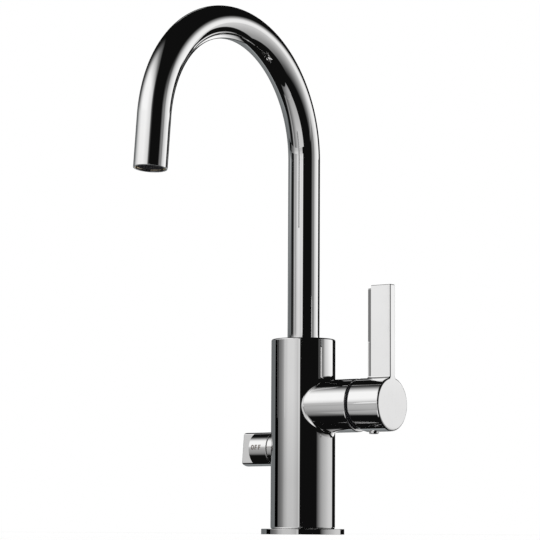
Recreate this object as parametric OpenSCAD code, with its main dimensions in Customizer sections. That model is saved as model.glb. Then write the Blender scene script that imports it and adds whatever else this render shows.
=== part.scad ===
// Single-lever kitchen faucet with a high swivel spout and a shut-off knob, in millimetres.
// Origin: centre of the base plate's underside. +Z up, the spout reaches to -Y, the lever is on +X.

/* [Base] */
// Radius of the round base plate
base_r = 32.2; // [30:0.1:40]
// Thickness of the base plate
base_h = 4.3; // [3.5:0.1:8]
// Height of the plate's locating rim inside the body
plate_rim_h = 2; // [1:0.1:4]
// Thickness of the rubber gasket let into the plate's underside
gasket_h = 1.2; // [0.8:0.1:1.8]
// Width of the gasket ring
gasket_w = 5; // [3:0.1:6]
// Rounding of the base plate's upper edge
base_edge = 0.4; // [0.2:0.1:1]

/* [Body] */
// Radius of the upright body
body_r = 25; // [24:0.1:28]
// Height of the body's top above the deck
body_h = 150.3; // [140:0.1:190]
// Rounding of the body's top and bottom edges
body_edge = 1.3; // [0.4:0.1:2]
// Wall of the body round the hose room
body_wall = 3.6; // [2.5:0.1:4]
// Height of the hose room above the base plate
hose_room_h = 30; // [18:0.5:34]
// Radius of the circle on which the inlets and the stud hole lie
inlet_ring_r = 12; // [11:0.1:13]
// Wall radius of each threaded hose inlet
inlet_r = 4.5; // [3.5:0.1:4.5]
// Depth of each threaded hose inlet
inlet_d = 10; // [6:0.5:14]
// Wall radius of the threaded hole for the fixing stud
stud_r = 3.4; // [2.5:0.1:4]
// Depth of the stud hole
stud_d = 14; // [8:0.5:18]
// Radius of the drilled waterways
way_r = 3.2; // [2.5:0.1:3.4]
// Radius of the cold feed to the shut-off valve
feed_r = 2.5; // [1.8:0.1:2.6]

/* [Spout] */
// Outer radius of the spout tube
tube_r = 12.5; // [11:0.1:14]
// Wall of the spout tube
tube_wall = 1.2; // [1:0.1:2]
// Radius of the arch along the tube's middle
arch_r = 93.3; // [70:0.1:120]
// Height at which the arch starts
arch_z = 292.4; // [230:0.1:330]
// Angle that the arch turns through
arch_turn = 174.75; // [150:0.05:180]
// Length of the straight outlet leg
leg_l = 39.2; // [28:0.1:60]
// Depth of the spout socket below the body's top
socket_d = 39.8; // [34:0.1:39.8]
// Depth that the tube itself reaches into the body
tube_in_body = 10; // [6:0.1:11]
// Swing of the spout to each side, in degrees
swing = 60; // [20:1:75]
// Wall of the spout nipple at its bore
nipple_wall = 4.3; // [4:0.1:5]
// Length of the nipple's spigot inside the tube
spigot_l = 12; // [6:0.5:20]
// Radius of an O-ring's section
ring_s = 1.15; // [0.8:0.05:1.2]
// Height of the lower O-ring above the nipple's foot
ring_low = 5; // [3:0.1:6]
// Height of the upper O-ring above the nipple's foot
ring_high = 21; // [20:0.1:22]
// Radius of the spout stop screw
stop_r = 2.5; // [2:0.1:3]
// Height of the stop screw above the nipple's foot
stop_up = 12.6; // [12:0.1:13.5]
// Wall of the guide bush
bush_wall = 1.9; // [1.2:0.1:2.5]
// Length of the guide bush
bush_l = 11.7; // [11.2:0.1:12.2]
// Thickness of the thrust washer
washer_h = 1.5; // [1:0.1:2]

/* [Outlet] */
// How deep the aerator's face lies in the tube's end
aerator_in = 1.3; // [0.6:0.1:3]
// Length of the aerator
aerator_l = 9.5; // [8:0.1:12]
// Wall of the threaded outlet sleeve
sleeve_wall = 1; // [0.8:0.1:1.2]
// Wall of the aerator's black housing
aerator_wall = 1.4; // [1:0.1:2]
// Width of the housing's ledge that holds the insert
ledge_w = 0.8; // [0.4:0.1:1.2]
// Thickness of the housing's ledge
ledge_h = 1; // [0.6:0.1:2]
// How far the insert's face lies behind the housing's face
insert_sink = 0.8; // [0:0.1:2]
// Width of a square water passage in the insert
grid_hole = 1.7; // [1:0.1:2]
// Spacing of the water passages
grid_step = 2.4; // [2.3:0.1:3]
// Thickness of the aerator's gasket
aerator_gasket_h = 1.6; // [1:0.1:2]

/* [Arm] */
// Height of the arm's axis above the deck
arm_z = 98.5; // [97:0.1:99]
// Radius of the arm
arm_r = 20.5; // [20.5:0.1:24]
// Distance of the arm's end from the body's axis
arm_end = 53; // [50:0.1:60]
// Rounding of the arm's end edge
arm_edge = 1; // [0.3:0.1:1.2]

/* [Cartridge] */
// Radius of the cartridge chamber
chamber_r = 17.5; // [17:0.1:17.6]
// Thickness of the cartridge's base
cart_base_t = 3.2; // [2.5:0.1:4]
// Thickness of the fixed ceramic disc
fixed_t = 3.5; // [2.5:0.1:4]
// Thickness of the moving ceramic disc
moving_t = 3.45; // [3:0.05:4]
// Thickness of the disc carrier
carrier_t = 4.8; // [4.6:0.1:5.5]
// Radius of the moving disc and its carrier
moving_r = 11; // [10:0.1:11.4]
// Thickness of the rotor's flange
rotor_flange_t = 1.8; // [1.2:0.1:2.5]
// Radius of the rotor's shaft
rotor_r = 10.95; // [10:0.05:10.95]
// Thickness of the housing's shoulder
shoulder_t = 1.6; // [1.2:0.1:2.5]
// Wall of the cartridge housing's skirt
housing_wall = 1.7; // [1.2:0.1:1.9]
// Wall of the cartridge housing's neck
neck_wall = 2.4; // [1.5:0.1:2.4]
// Length of the nut's thread in the arm
nut_thread_l = 4.4; // [3:0.1:6]
// Depth of the nut's thread outside the chamber's wall
nut_thread_h = 0.5; // [0.3:0.1:0.6]
// Radius of each water port in the cartridge
port_r = 3.6; // [2.5:0.1:3.6]
// Distance of the ports from the cartridge's axis
port_off = 8.2; // [8:0.1:8.6]
// Width of the seal round each port
seal_w = 1.2; // [0.8:0.1:1.3]
// Thickness of the seal round each port
seal_h = 1.4; // [1:0.1:2]
// Radius of the mixing pocket in the moving disc
pocket_r = 6.6; // [5:0.1:8]
// Depth of the mixing pocket
pocket_d = 1.8; // [1:0.1:2.5]
// Distance of the mixing pocket's middle from the disc's middle
pocket_off = 1.5; // [0:0.1:2.5]
// Length from the lever pin to the stem's ball
stem_inner_l = 11; // [10.5:0.1:11.2]
// Radius of the stem's ball
ball_r = 3; // [2.6:0.1:3]
// Radius of the stem's inner shank
shank_r = 2.6; // [2:0.1:2.6]
// Radius of the lever pin
pin_r = 1.5; // [1.2:0.05:1.7]
// Width of the square stem
stem_w = 8; // [6:0.1:8]
// Tilt of the lever, in degrees
tilt = 20; // [10:1:20]

/* [Lever] */
// Width of the gap between the arm and the trim ring
gap_w = 2.9; // [2.7:0.1:3.4]
// Radius of the lever's round cap
cap_r = 20.5; // [20.3:0.1:23]
// Wall of the cap
cap_wall = 1.4; // [1.2:0.1:1.5]
// Distance of the cap's outer face from the body's axis
cap_end = 83.7; // [82:0.1:90]
// Thickness of the cap's end plate
cap_plate = 4.7; // [3:0.1:6]
// Rounding of the cap's outer edge
cap_edge = 1.6; // [0.5:0.1:2.5]
// Radius of the hub that holds the stem
hub_r = 8.5; // [8:0.1:8.8]
// Depth below the arm's axis at which the cap's oblique cut starts
cut_start = 5.5; // [3:0.1:7]
// How far the oblique cut reaches along the cap at its lowest point
cut_reach = 5; // [4.8:0.1:5.5]
// Radial play between the trim ring and the cap
dome_play = 0.3; // [0.2:0.05:0.4]
// Length of the trim ring
dome_l = 5.6; // [5:0.1:5.8]
// Wall of the trim ring at its open end
dome_wall = 2.2; // [1:0.1:2.5]
// Where the trim ring's seat lies between the cartridge's neck and the ring's outer radius
dome_seat_share = 0.3; // [0.25:0.01:0.4]
// Thickness of the blade
blade_t = 6.6; // [4:0.1:8]
// Width of the blade, its bevelled strip included
blade_w = 21.5; // [16:0.1:22]
// Height of the blade's top above the deck
blade_top = 190; // [160:0.1:230]
// Width of the bevelled strip along the blade's inner edge
strip_w = 3.7; // [2:0.1:5]
// How much the strip thins the blade on each face
strip_bevel = 1.2; // [0.4:0.1:1.5]
// How much lower the strip's top is
strip_drop = 2.3; // [0.5:0.1:4]
// Distance of the set screw from the cap's outer face
screw_in = 17.2; // [16:0.1:17.4]
// Radius of the set screw
screw_r = 2.5; // [2:0.1:2.5]
// Length of the set screw
screw_l = 6; // [5:0.1:6]
// Radius of the plug under the cap
plug_r = 3.75; // [3:0.05:3.9]
// How far the plug stands out of the cap
plug_out = 1.6; // [0.5:0.1:2.5]
// Rounding of the plug's edge
plug_edge = 0.6; // [0.2:0.1:1]

/* [Shut-off valve] */
// Height of the knob's axis above the deck
knob_z = 66.4; // [62:0.1:70]
// Radius of the knob and its bezel ring
knob_r = 13.25; // [13:0.05:15]
// How far the bezel ring stands out of the body's side
bezel_out = 0.8; // [0.5:0.1:3]
// Width of the groove between the bezel ring and the knob
knob_gap = 0.8; // [0.5:0.1:1.5]
// Length of the knob's round part
knob_l = 16.4; // [13:0.1:22]
// Length of the knob's flat tongue
tongue_l = 11.2; // [6:0.1:16]
// Thickness of the tongue
tongue_t = 12.4; // [6:0.1:14]
// Turn of the valve, its index line and its tongue in the body, in degrees
valve_tilt = 5.5; // [0:0.5:10]
// Rounding of the knob's end edges
knob_edge = 0.7; // [0.3:0.1:1.2]
// Width of the engraved index line
index_w = 0.4; // [0.2:0.05:1]
// Depth of the engraved index line
index_d = 0.25; // [0.1:0.05:0.5]
// Depth of the valve chamber below the body's side
valve_d = 19; // [18:0.1:20]
// Radius of the valve chamber
valve_r = 8; // [8:0.1:8.5]
// Thickness of the valve's inner seal
valve_seal_h = 1.5; // [1:0.1:2]
// Thickness of each of the valve's ceramic discs
valve_disc_t = 2.45; // [2:0.05:3]
// Wall of the headwork round the discs
headwork_wall = 0.95; // [0.8:0.05:1.2]
// Radius of each water hole in the valve's discs
disc_hole_r = 1.9; // [1:0.1:2]
// Distance of the water holes from the valve's axis
disc_hole_off = 3.8; // [3.2:0.1:4.2]
// Radius of the water window across the headwork
window_r = 1.7; // [1:0.1:1.8]
// Thickness of the headwork's flange
headwork_flange_t = 3; // [2:0.1:3.2]
// Radius of the headwork's flange
headwork_flange_r = 10.8; // [10:0.1:11]
// Radius of the valve's spindle
spindle_r = 3.5; // [3:0.1:4]
// Thickness of the spindle's drive flange
drive_t = 2.5; // [2:0.1:3]
// Length of the spindle's square end
square_l = 10; // [7:0.1:11]
// Wall of the headwork's neck round the spindle
headwork_neck_wall = 2.5; // [1.5:0.1:3]
// Radius of the section of the spindle's O-ring
spindle_ring_s = 0.5; // [0.4:0.05:0.6]

/* [Hidden] */
$fn = 96;

// Finishes as they show
chrome_col = [0.78, 0.79, 0.81];
brass_col = [0.78, 0.62, 0.32];
black_col = [0.08, 0.08, 0.09];
rubber_col = [0.13, 0.13, 0.14];
plastic_col = [0.86, 0.86, 0.83];
ceramic_col = [0.94, 0.93, 0.9];
steel_col = [0.62, 0.63, 0.65];

// Clearances
run = 0.05;     // radial play of a shaft in its hole, and the film between sliding faces
seat = 0.02;    // radial play of pieces that are pushed or screwed together
loose = 0.1;    // radial play of pieces that are laid in
play = 0.2;     // end play of a turning flange, and the play of a piece that drops into its chamber
air = 0.4;      // space round a flange that turns inside a chamber
eps = 0.5;      // how far a cutting shape runs past what it cuts
into = 1;       // how far joined shapes of one piece run into each other
lap = 0.02;     // how far the arch's sweep runs into the outlet leg, in degrees

// Hex sockets of the screws: radius over the corners, and depth
hex_r = 1.4;
hex_d = 2.5;

// Directions of the holes in the hose room, in degrees from +X
hot_dir = 40;
cold_dir = -40;
outlet_dir = 180;
stud_dir = -110;

// Base and body
hose_room_r = body_r - body_wall;
hose_room_z = base_h + hose_room_h;
bore_margin = 1;    // from an inlet's wall to the plate's bore
gasket_inset = 3;   // from the plate's bore to the gasket
base_bore_r = inlet_ring_r + inlet_r + bore_margin;
gasket_r0 = base_bore_r + gasket_inset;

// Spout socket, from its floor up
socket_z = body_h - socket_d;
nipple_z = socket_z + washer_h + run;
nipple_step = 0.2;  // how much slimmer the nipple is than the tube
throat_step = 1;    // how much narrower the mixed-water way is than the nipple's bore
bush_drop = 0.6;    // how far the guide bush lies below the body's top
nipple_r = tube_r - nipple_step;
nipple_bore = nipple_r - nipple_wall;
socket_r = nipple_r + run;
tube_ir = tube_r - tube_wall;
tube_z = body_h - tube_in_body;
ring_r = socket_r - run / 2 - ring_s;
bush_r0 = tube_r + run;
bush_r1 = bush_r0 + bush_wall;
bush_z1 = body_h - bush_drop;
bush_z0 = bush_z1 - bush_l;
stop_z = nipple_z + stop_up;
stop_bite = 1.5;    // how far the stop screw reaches into the nipple
stop_clear = 0.3;   // from its point to the bottom of the groove
stop_point_step = 0.6;  // how much slimmer its point is than its thread
stop_sink = 0.5;    // how far it lies below the body's surface
stop_tip = nipple_r - stop_bite;
stop_thread = socket_r + air;
stop_groove_r = stop_tip - stop_clear;
stop_play = asin((stop_r + loose) / stop_groove_r);

// Outlet
sleeve_r0 = tube_ir - seat - sleeve_wall;
aerator_r = sleeve_r0 - seat;
insert_r = aerator_r - aerator_wall;
sleeve_l = aerator_l + aerator_gasket_h;
insert_l = aerator_l - ledge_h - insert_sink;
grid_rim = 0.3;     // least wall between a passage and the insert's edge

// Cartridge stack, from the chamber's floor outwards
stack = [cart_base_t, fixed_t, run, moving_t, carrier_t, play, rotor_flange_t, play, shoulder_t];
function stack_x(i) = i == 0 ? floor_x : stack_x(i - 1) + stack[i - 1];
function total(v, i = 0) = i == len(v) ? 0 : v[i] + total(v, i + 1);
floor_x = arm_end - nut_thread_l - total(stack);
fixed_x = stack_x(1);
moving_x = stack_x(3);
carrier_x = stack_x(4);
rotor_x = stack_x(6);
shoulder_x = stack_x(8);
nut_x = stack_x(9);
cart_r = chamber_r - play;
cavity_r = cart_r - housing_wall;
nut_r = chamber_r + nut_thread_h;
carrier_floor = 1;  // thickness of the carrier under the ball
ball_play = 0.12;   // play of the ball in the carrier's slot
neck_out = 1.5;     // how far the housing's neck stands out of the nut
rotor_out = 0.4;    // how far the rotor stands out of the neck
port_step = 0.4;    // how much narrower the fixed disc's ports are
pin_short = 0.4;    // how far each end of the pin lies inside the rotor
ball_floor_x = carrier_x + carrier_floor;
ball_x = ball_floor_x + ball_r;
pivot_x = ball_x + stem_inner_l;
neck_bore = rotor_r + run;
neck_r = neck_bore + neck_wall;
dome_x = arm_end + gap_w;
dome_seat_l = 1.6;  // length of the nut's seat inside the trim ring
dome_seat_w = 1;    // width of the step that the trim ring rests on
neck_end = dome_x + neck_out;
rotor_end = neck_end + rotor_out;
nut_end = dome_x + dome_seat_l;
stem_h = stem_w / 2;
slot_y = stem_h + loose;

// Lever
hub_gap = 9.5;      // from the lever pin to the hub
stem_short = 1;     // from the stem's end to the cap's end plate
plug_pad_in = 1.1;  // how far the plug's pad reaches inside the trim ring's radius
plug_pad_w = 1.2;   // wall of the plug's pad
screw_pad_w = 1.6;  // wall of the set screw's pad
pad_over = 0.5;     // how far the set screw's pad is longer than the screw
cap_x = dome_x + loose;
cavity_cap_r = cap_r - cap_wall;
dome_r = cavity_cap_r - dome_play;
dome_end = dome_x + dome_l;
dome_seat_r = neck_r + dome_seat_share * (dome_r - neck_r);
nut_neck_r = dome_seat_r + dome_seat_w;
cavity_end = cap_end - cap_plate;
hub_x = pivot_x + hub_gap;
stem_end = cavity_end - stem_short;
cut_angle = atan(cut_reach / (cap_r - cut_start));
blade_x = cap_end - blade_w;
blade_foot = arm_z + cavity_cap_r + loose;
screw_x = cap_end - screw_in;
plug_pad_r = dome_r - plug_pad_in;

// Valve stack, as distances from the body's axis towards -X
valve_floor = body_r - valve_d;
vfix_u = valve_floor + valve_seal_h;
vmove_u = vfix_u + valve_disc_t + run;
drive_u = vmove_u + valve_disc_t;
drive_end = drive_u + drive_t;
flange_sink = 3.5;  // how far the headwork's flange seat lies inside the body's radius
flange_u = body_r - flange_sink;
flange_end = flange_u + headwork_flange_t;
bezel_end = body_r + bezel_out;
knob_u = bezel_end + knob_gap;
knob_air = 0.7;     // from the headwork's neck to the knob
square_start = 1.4; // how far the spindle's square starts inside the knob
groove_edge = 0.3;  // rounding of the edges beside the knob's groove
valve_seal_lip = 1; // how far the seal reaches inside the headwork's cavity
ring_up = 2;        // from the drive flange's play to the spindle's O-ring
headwork_end = knob_u - knob_air;
headwork_r = valve_r - run;
vcavity_r = headwork_r - headwork_wall;
knob_shoulder = knob_u + knob_l;
knob_end = knob_shoulder + tongue_l;
square_w = (spindle_r - loose) * sqrt(2);
square_u = knob_u + square_start;
spindle_ring_u = drive_end + play + ring_up;

// A rod along Z from z0 to z1, with its lower and upper edges rounded
module soft_rod(r, z0, z1, edge0, edge1) {
    translate([0, 0, z0 + edge0]) cylinder(r = r, h = z1 - z0 - edge0 - edge1);
    if (edge0 > 0) {
        translate([0, 0, z0]) cylinder(r = r - edge0, h = edge0 + edge0);
        translate([0, 0, z0 + edge0]) ring_bead(r - edge0, edge0);
    }
    if (edge1 > 0) {
        translate([0, 0, z1 - edge1 - edge1]) cylinder(r = r - edge1, h = edge1 + edge1);
        translate([0, 0, z1 - edge1]) ring_bead(r - edge1, edge1);
    }
}

// A round bead with section radius s on a circle of radius r
module ring_bead(r, s) {
    rotate_extrude() translate([r, 0]) circle(r = s);
}

// A flat ring from z0 to z1
module washer(r0, r1, z0, z1) {
    difference() {
        translate([0, 0, z0]) cylinder(r = r1, h = z1 - z0);
        translate([0, 0, z0 - eps]) cylinder(r = r0, h = z1 - z0 + 2 * eps);
    }
}

// A drilled hole along Z from z0 to z1
module bore(r, z0, z1) {
    translate([0, 0, z0]) cylinder(r = r, h = z1 - z0);
}

// Local +Z runs outwards along the arm; local z is then the distance from the body's axis
module along_arm() {
    translate([0, 0, arm_z]) rotate([0, 90, 0]) children();
}

// Local +Z runs outwards along the shut-off valve
module along_valve() {
    translate([0, 0, knob_z]) rotate([-valve_tilt, 0, 0]) rotate([0, -90, 0]) children();
}

// Local +Z runs down the spout at its outlet, with z = 0 at the tube's end
module at_outlet() {
    translate([0, -arch_r, arch_z]) rotate([arch_turn, 0, 0]) translate([0, arch_r, leg_l]) children();
}

// Places a child at a hole of the hose room
module at_inlet(dir) {
    rotate([0, 0, dir]) translate([inlet_ring_r, 0, 0]) rotate([0, 0, -dir]) children();
}

// The three ports of the cartridge: mixed water on top, hot behind, cold in front
module at_ports() {
    for (turn = [180, 60, -60]) rotate([0, 0, turn]) translate([port_off, 0, 0]) children();
}

// The spout's path as a solid rod of radius r
module spout_rod(r, z0, leg) {
    translate([0, 0, z0]) cylinder(r = r, h = arch_z - z0);
    translate([0, -arch_r, arch_z]) rotate([90, 0, 90])
        rotate_extrude(angle = arch_turn + lap) translate([arch_r, 0]) circle(r = r);
    at_outlet() translate([0, 0, -leg_l]) cylinder(r = r, h = leg);
}

module base_plate() {
    color(chrome_col) difference() {
        union() {
            soft_rod(base_r, 0, base_h, 0, base_edge);
            cylinder(r = hose_room_r - loose, h = base_h + plate_rim_h);
        }
        bore(base_bore_r, -eps, base_h + plate_rim_h + eps);
        washer(gasket_r0, gasket_r0 + gasket_w, -eps, gasket_h);
    }
}

module base_gasket() {
    color(rubber_col) washer(gasket_r0 + loose, gasket_r0 + gasket_w - loose, 0, gasket_h);
}

module mixer_body() {
    color(chrome_col) difference() {
        union() {
            soft_rod(body_r, base_h, body_h, body_edge, body_edge);
            along_arm() soft_rod(arm_r, 0, arm_end, 0, arm_edge);
        }
        bore(hose_room_r, base_h - eps, hose_room_z);
        body_inlets();
        body_spout_socket();
        body_cartridge_chamber();
        body_valve_chamber();
    }
}

// Threaded inlets, the outlet to the dishwasher and the stud hole, with the waterways over them
module body_inlets() {
    for (dir = [hot_dir, cold_dir, outlet_dir]) at_inlet(dir)
        bore(inlet_r, hose_room_z - eps, hose_room_z + inlet_d);
    for (dir = [hot_dir, cold_dir]) at_inlet(dir)
        bore(way_r, hose_room_z, arm_z - port_off / 2 + way_r);
    at_inlet(outlet_dir) bore(way_r, hose_room_z, knob_z - valve_r + into);
    at_inlet(stud_dir) bore(stud_r, hose_room_z - eps, hose_room_z + stud_d);
}

// Socket of the spout, seat of its guide bush and the hole of the stop screw
module body_spout_socket() {
    bore(socket_r, socket_z, body_h + eps);
    bore(bush_r1, bush_z0, body_h + eps);
    bore(nipple_bore - throat_step, arm_z + port_off, socket_z + eps);
    translate([0, 0, stop_z]) rotate([-90, 0, 0]) cylinder(r = stop_r, h = body_r + eps);
}

// Chamber of the cartridge, thread of its nut and the ports in its floor
module body_cartridge_chamber() {
    inlet_x = inlet_ring_r * cos(hot_dir);
    along_arm() {
        bore(chamber_r, floor_x, arm_end + eps);
        bore(nut_r, nut_x - into, arm_end + eps);
        rotate([0, 0, 180]) translate([port_off, 0, 0]) bore(port_r, 0, floor_x + eps);
        for (turn = [60, -60]) rotate([0, 0, turn]) translate([port_off, 0, 0])
            bore(port_r, inlet_x, floor_x + eps);
    }
}

// Chamber of the shut-off valve, seat of its flange and its cold feed
module body_valve_chamber() {
    along_valve() {
        bore(valve_r, valve_floor, body_r + eps);
        bore(headwork_flange_r + play, flange_u, body_r + eps);
    }
    feed_y = inlet_ring_r * sin(cold_dir) + feed_r;
    feed_x = inlet_ring_r * cos(cold_dir);
    translate([feed_x, feed_y, knob_z]) rotate([0, -90, 0]) bore(feed_r, 0, feed_x + valve_floor + eps);
}

module thrust_washer() {
    color(plastic_col) washer(nipple_bore, socket_r - seat, socket_z, socket_z + washer_h);
}

module spout_bush() {
    color(black_col) washer(bush_r0, bush_r1 - seat, bush_z0, bush_z1);
}

module spout_stop_screw() {
    color(steel_col) translate([0, 0, stop_z]) rotate([-90, 0, 0]) difference() {
        union() {
            bore(stop_r - seat, stop_thread, body_r - stop_sink);
            bore(stop_r - stop_point_step, stop_tip, stop_thread + into);
        }
        translate([0, 0, body_r - stop_sink - hex_d]) cylinder(r = hex_r, h = hex_d + eps, $fn = 6);
    }
}

module spout_tube() {
    color(chrome_col) difference() {
        spout_rod(tube_r, tube_z, leg_l);
        spout_rod(tube_ir, tube_z - eps, leg_l + eps);
    }
}

module spout_nipple() {
    groove = ring_s + play;
    color(brass_col) difference() {
        union() {
            bore(nipple_r, nipple_z, tube_z - seat);
            bore(tube_ir - seat, tube_z - into, tube_z + spigot_l);
        }
        bore(nipple_bore, nipple_z - eps, tube_z + spigot_l + eps);
        for (up = [ring_low, ring_high])
            washer(ring_r - ring_s, nipple_r + eps, nipple_z + up - groove, nipple_z + up + groove);
        translate([0, 0, stop_z - stop_r - loose]) rotate([0, 0, 90 - swing - stop_play])
            rotate_extrude(angle = 2 * (swing + stop_play)) translate([stop_groove_r, 0])
                square([nipple_r - stop_groove_r + eps, 2 * (stop_r + loose)]);
    }
}

module spout_o_rings() {
    color(rubber_col) for (up = [ring_low, ring_high])
        translate([0, 0, nipple_z + up]) ring_bead(ring_r, ring_s);
}

module outlet_sleeve() {
    color(brass_col) at_outlet()
        washer(sleeve_r0, tube_ir - seat, -aerator_in - sleeve_l, -aerator_in - play);
}

module aerator_housing() {
    color(black_col) at_outlet() {
        washer(insert_r, aerator_r, -aerator_in - aerator_l, -aerator_in);
        washer(insert_r - ledge_w, insert_r + aerator_wall / 2, -aerator_in - aerator_l,
               -aerator_in - aerator_l + ledge_h);
    }
}

module aerator_insert() {
    span = floor(insert_r / grid_step);
    color(black_col) at_outlet() translate([0, 0, -aerator_in - insert_sink]) difference() {
        bore(insert_r - seat, -insert_l, 0);
        for (i = [-span : span], j = [-span : span])
            if (norm([i, j]) * grid_step + grid_hole * sqrt(2) / 2 + grid_rim < insert_r)
                translate([i * grid_step, j * grid_step, -insert_l / 2])
                    cube([grid_hole, grid_hole, insert_l + 2 * eps], center = true);
    }
}

module aerator_gasket() {
    color(rubber_col) at_outlet()
        washer(insert_r - ledge_w, sleeve_r0 - seat, -aerator_in - sleeve_l, -aerator_in - aerator_l);
}

module cartridge_base() {
    color(plastic_col) along_arm() difference() {
        bore(cart_r, floor_x, fixed_x);
        at_ports() bore(port_r, floor_x - eps, fixed_x + eps);
        at_ports() bore(port_r + seal_w, floor_x - eps, floor_x + seal_h);
    }
}

module cartridge_seals() {
    color(rubber_col) along_arm() at_ports()
        washer(port_r, port_r + seal_w - seat, floor_x, floor_x + seal_h);
}

module fixed_disc() {
    color(ceramic_col) along_arm() difference() {
        bore(cavity_r - loose, fixed_x, fixed_x + fixed_t);
        at_ports() bore(port_r - port_step, fixed_x - eps, fixed_x + fixed_t + eps);
    }
}

module moving_disc() {
    color(ceramic_col) along_arm() difference() {
        bore(moving_r, moving_x, carrier_x);
        translate([-pocket_off, 0, 0]) bore(pocket_r, moving_x - eps, moving_x + pocket_d);
    }
}

module disc_carrier() {
    slot = ball_r + ball_play;
    color(plastic_col) along_arm() difference() {
        bore(moving_r, carrier_x, carrier_x + carrier_t);
        translate([-slot, -slot_y, ball_floor_x - loose]) cube([2 * slot, 2 * slot_y, carrier_t]);
    }
}

module cartridge_housing() {
    color(plastic_col) along_arm() difference() {
        union() {
            bore(cart_r, fixed_x, nut_x);
            bore(neck_r, nut_x - into, neck_end);
        }
        bore(cavity_r, fixed_x - eps, shoulder_x);
        bore(neck_bore, fixed_x, neck_end + eps);
    }
}

module stem_rotor() {
    low = stem_h / cos(tilt) + (rotor_end - pivot_x) * tan(tilt) + play;
    high = ball_r + stem_inner_l * sin(tilt) + play;
    color(plastic_col) along_arm() difference() {
        union() {
            bore(cavity_r - air, rotor_x, rotor_x + rotor_flange_t);
            bore(rotor_r, rotor_x, rotor_end);
        }
        translate([-high, -slot_y, rotor_x - eps])
            cube([high + low, 2 * slot_y, rotor_end - rotor_x + 2 * eps]);
        translate([0, 0, pivot_x]) rotate([90, 0, 0])
            cylinder(r = pin_r + seat / 2, h = 3 * rotor_r, center = true);
    }
}

module stem_pin() {
    color(steel_col) along_arm() translate([0, 0, pivot_x]) rotate([90, 0, 0])
        cylinder(r = pin_r, h = 2 * (rotor_r - pin_short), center = true);
}

module lever_stem() {
    color(steel_col) along_arm() difference() {
        union() {
            translate([0, 0, ball_x]) sphere(r = ball_r);
            bore(shank_r, ball_x, pivot_x);
            translate([0, 0, pivot_x]) rotate([90, 0, 0]) cylinder(r = stem_h, h = stem_w, center = true);
            translate([-stem_h, -stem_h, pivot_x]) cube([stem_w, stem_w, stem_end - pivot_x]);
        }
        translate([0, 0, pivot_x]) rotate([90, 0, 0])
            cylinder(r = pin_r + run, h = 2 * stem_w, center = true);
    }
}

module retaining_nut() {
    color(black_col) along_arm() difference() {
        union() {
            bore(nut_r - seat, nut_x, arm_end);
            bore(nut_neck_r, nut_x, dome_x);
            bore(dome_seat_r, nut_x, nut_end);
        }
        bore(neck_r + run, nut_x - eps, nut_end + eps);
    }
}

module trim_dome() {
    color(chrome_col) along_arm() difference() {
        intersection() {
            translate([0, 0, pivot_x]) sphere(r = dome_r);
            bore(dome_r + into, dome_x, dome_end);
        }
        bore(dome_seat_r + seat, dome_x - eps, dome_end + eps);
        bore(dome_r - dome_wall, nut_end, dome_end + eps);
    }
}

module lever_handle() {
    color(chrome_col) difference() {
        union() {
            along_arm() difference() {
                soft_rod(cap_r, cap_x, cap_end, 0, cap_edge);
                bore(cavity_cap_r, cap_x - eps, cavity_end);
            }
            along_arm() bore(hub_r, hub_x, cavity_end + into);
            screw_column(screw_r + screw_pad_w, stem_h + into, stem_h + screw_l + pad_over);
            screw_column(plug_r + plug_pad_w, plug_pad_r, cap_r - cap_wall / 2);
            blade();
        }
        along_arm() translate([-stem_h - seat, -stem_h - seat, hub_x - eps])
            cube([stem_w + 2 * seat, stem_w + 2 * seat, stem_end + seat - hub_x + eps]);
        screw_column(screw_r, stem_h - into, stem_h + screw_l + pad_over + eps);
        screw_column(plug_r, plug_pad_r - eps, cap_r + eps);
        translate([cap_x, 0, arm_z - cut_start]) rotate([0, -cut_angle, 0])
            translate([-cap_r, -2 * cap_r, -2 * cap_r]) cube([cap_r, 4 * cap_r, 2 * cap_r]);
    }
}

// A rod along the set screw's axis, between two distances below the arm's axis
module screw_column(r, near, far) {
    translate([screw_x, 0, arm_z - far]) cylinder(r = r, h = far - near);
}

// The lever's flat blade: a plate, and the thinner and lower strip along its inner edge
module blade() {
    half = blade_t / 2;
    thin = half - strip_bevel;
    join_x = blade_x + strip_w;
    translate([join_x, -half, blade_foot]) cube([cap_end - join_x, blade_t, blade_top - blade_foot]);
    translate([0, 0, blade_foot]) linear_extrude(blade_top - strip_drop - blade_foot)
        polygon([[blade_x, -thin], [join_x, -half], [join_x + into, -half],
                 [join_x + into, half], [join_x, half], [blade_x, thin]]);
}

module set_screw() {
    color(steel_col) difference() {
        screw_column(screw_r - seat, stem_h + seat, stem_h + screw_l);
        translate([screw_x, 0, arm_z - stem_h - screw_l - eps])
            cylinder(r = hex_r, h = hex_d + eps, $fn = 6);
    }
}

module screw_plug() {
    color(chrome_col) translate([screw_x, 0, arm_z])
        rotate([180, 0, 0]) soft_rod(plug_r - seat, plug_pad_r + play, cap_r + plug_out, 0, plug_edge);
}

module bezel_ring() {
    color(chrome_col) difference() {
        along_valve() difference() {
            soft_rod(knob_r, body_r / 2, bezel_end, 0, groove_edge);
            bore(headwork_flange_r + run, 0, bezel_end + eps);
            translate([0, -knob_r, bezel_end]) cube([index_w, 2 * index_d, 2 * knob_r], center = true);
        }
        translate([0, 0, knob_z - 2 * knob_r]) cylinder(r = body_r, h = 4 * knob_r);
    }
}

module valve_headwork() {
    color(brass_col) along_valve() difference() {
        union() {
            bore(headwork_r, vfix_u, flange_u + into);
            bore(headwork_flange_r, flange_u, flange_end);
            bore(spindle_r + headwork_neck_wall, flange_u, headwork_end);
        }
        bore(vcavity_r, vfix_u - eps, drive_end + play);
        bore(spindle_r + run, drive_end, headwork_end + eps);
        translate([0, 0, drive_u + drive_t / 2]) rotate([0, 90, 0])
            cylinder(r = window_r, h = 3 * headwork_r, center = true);
    }
}

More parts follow.
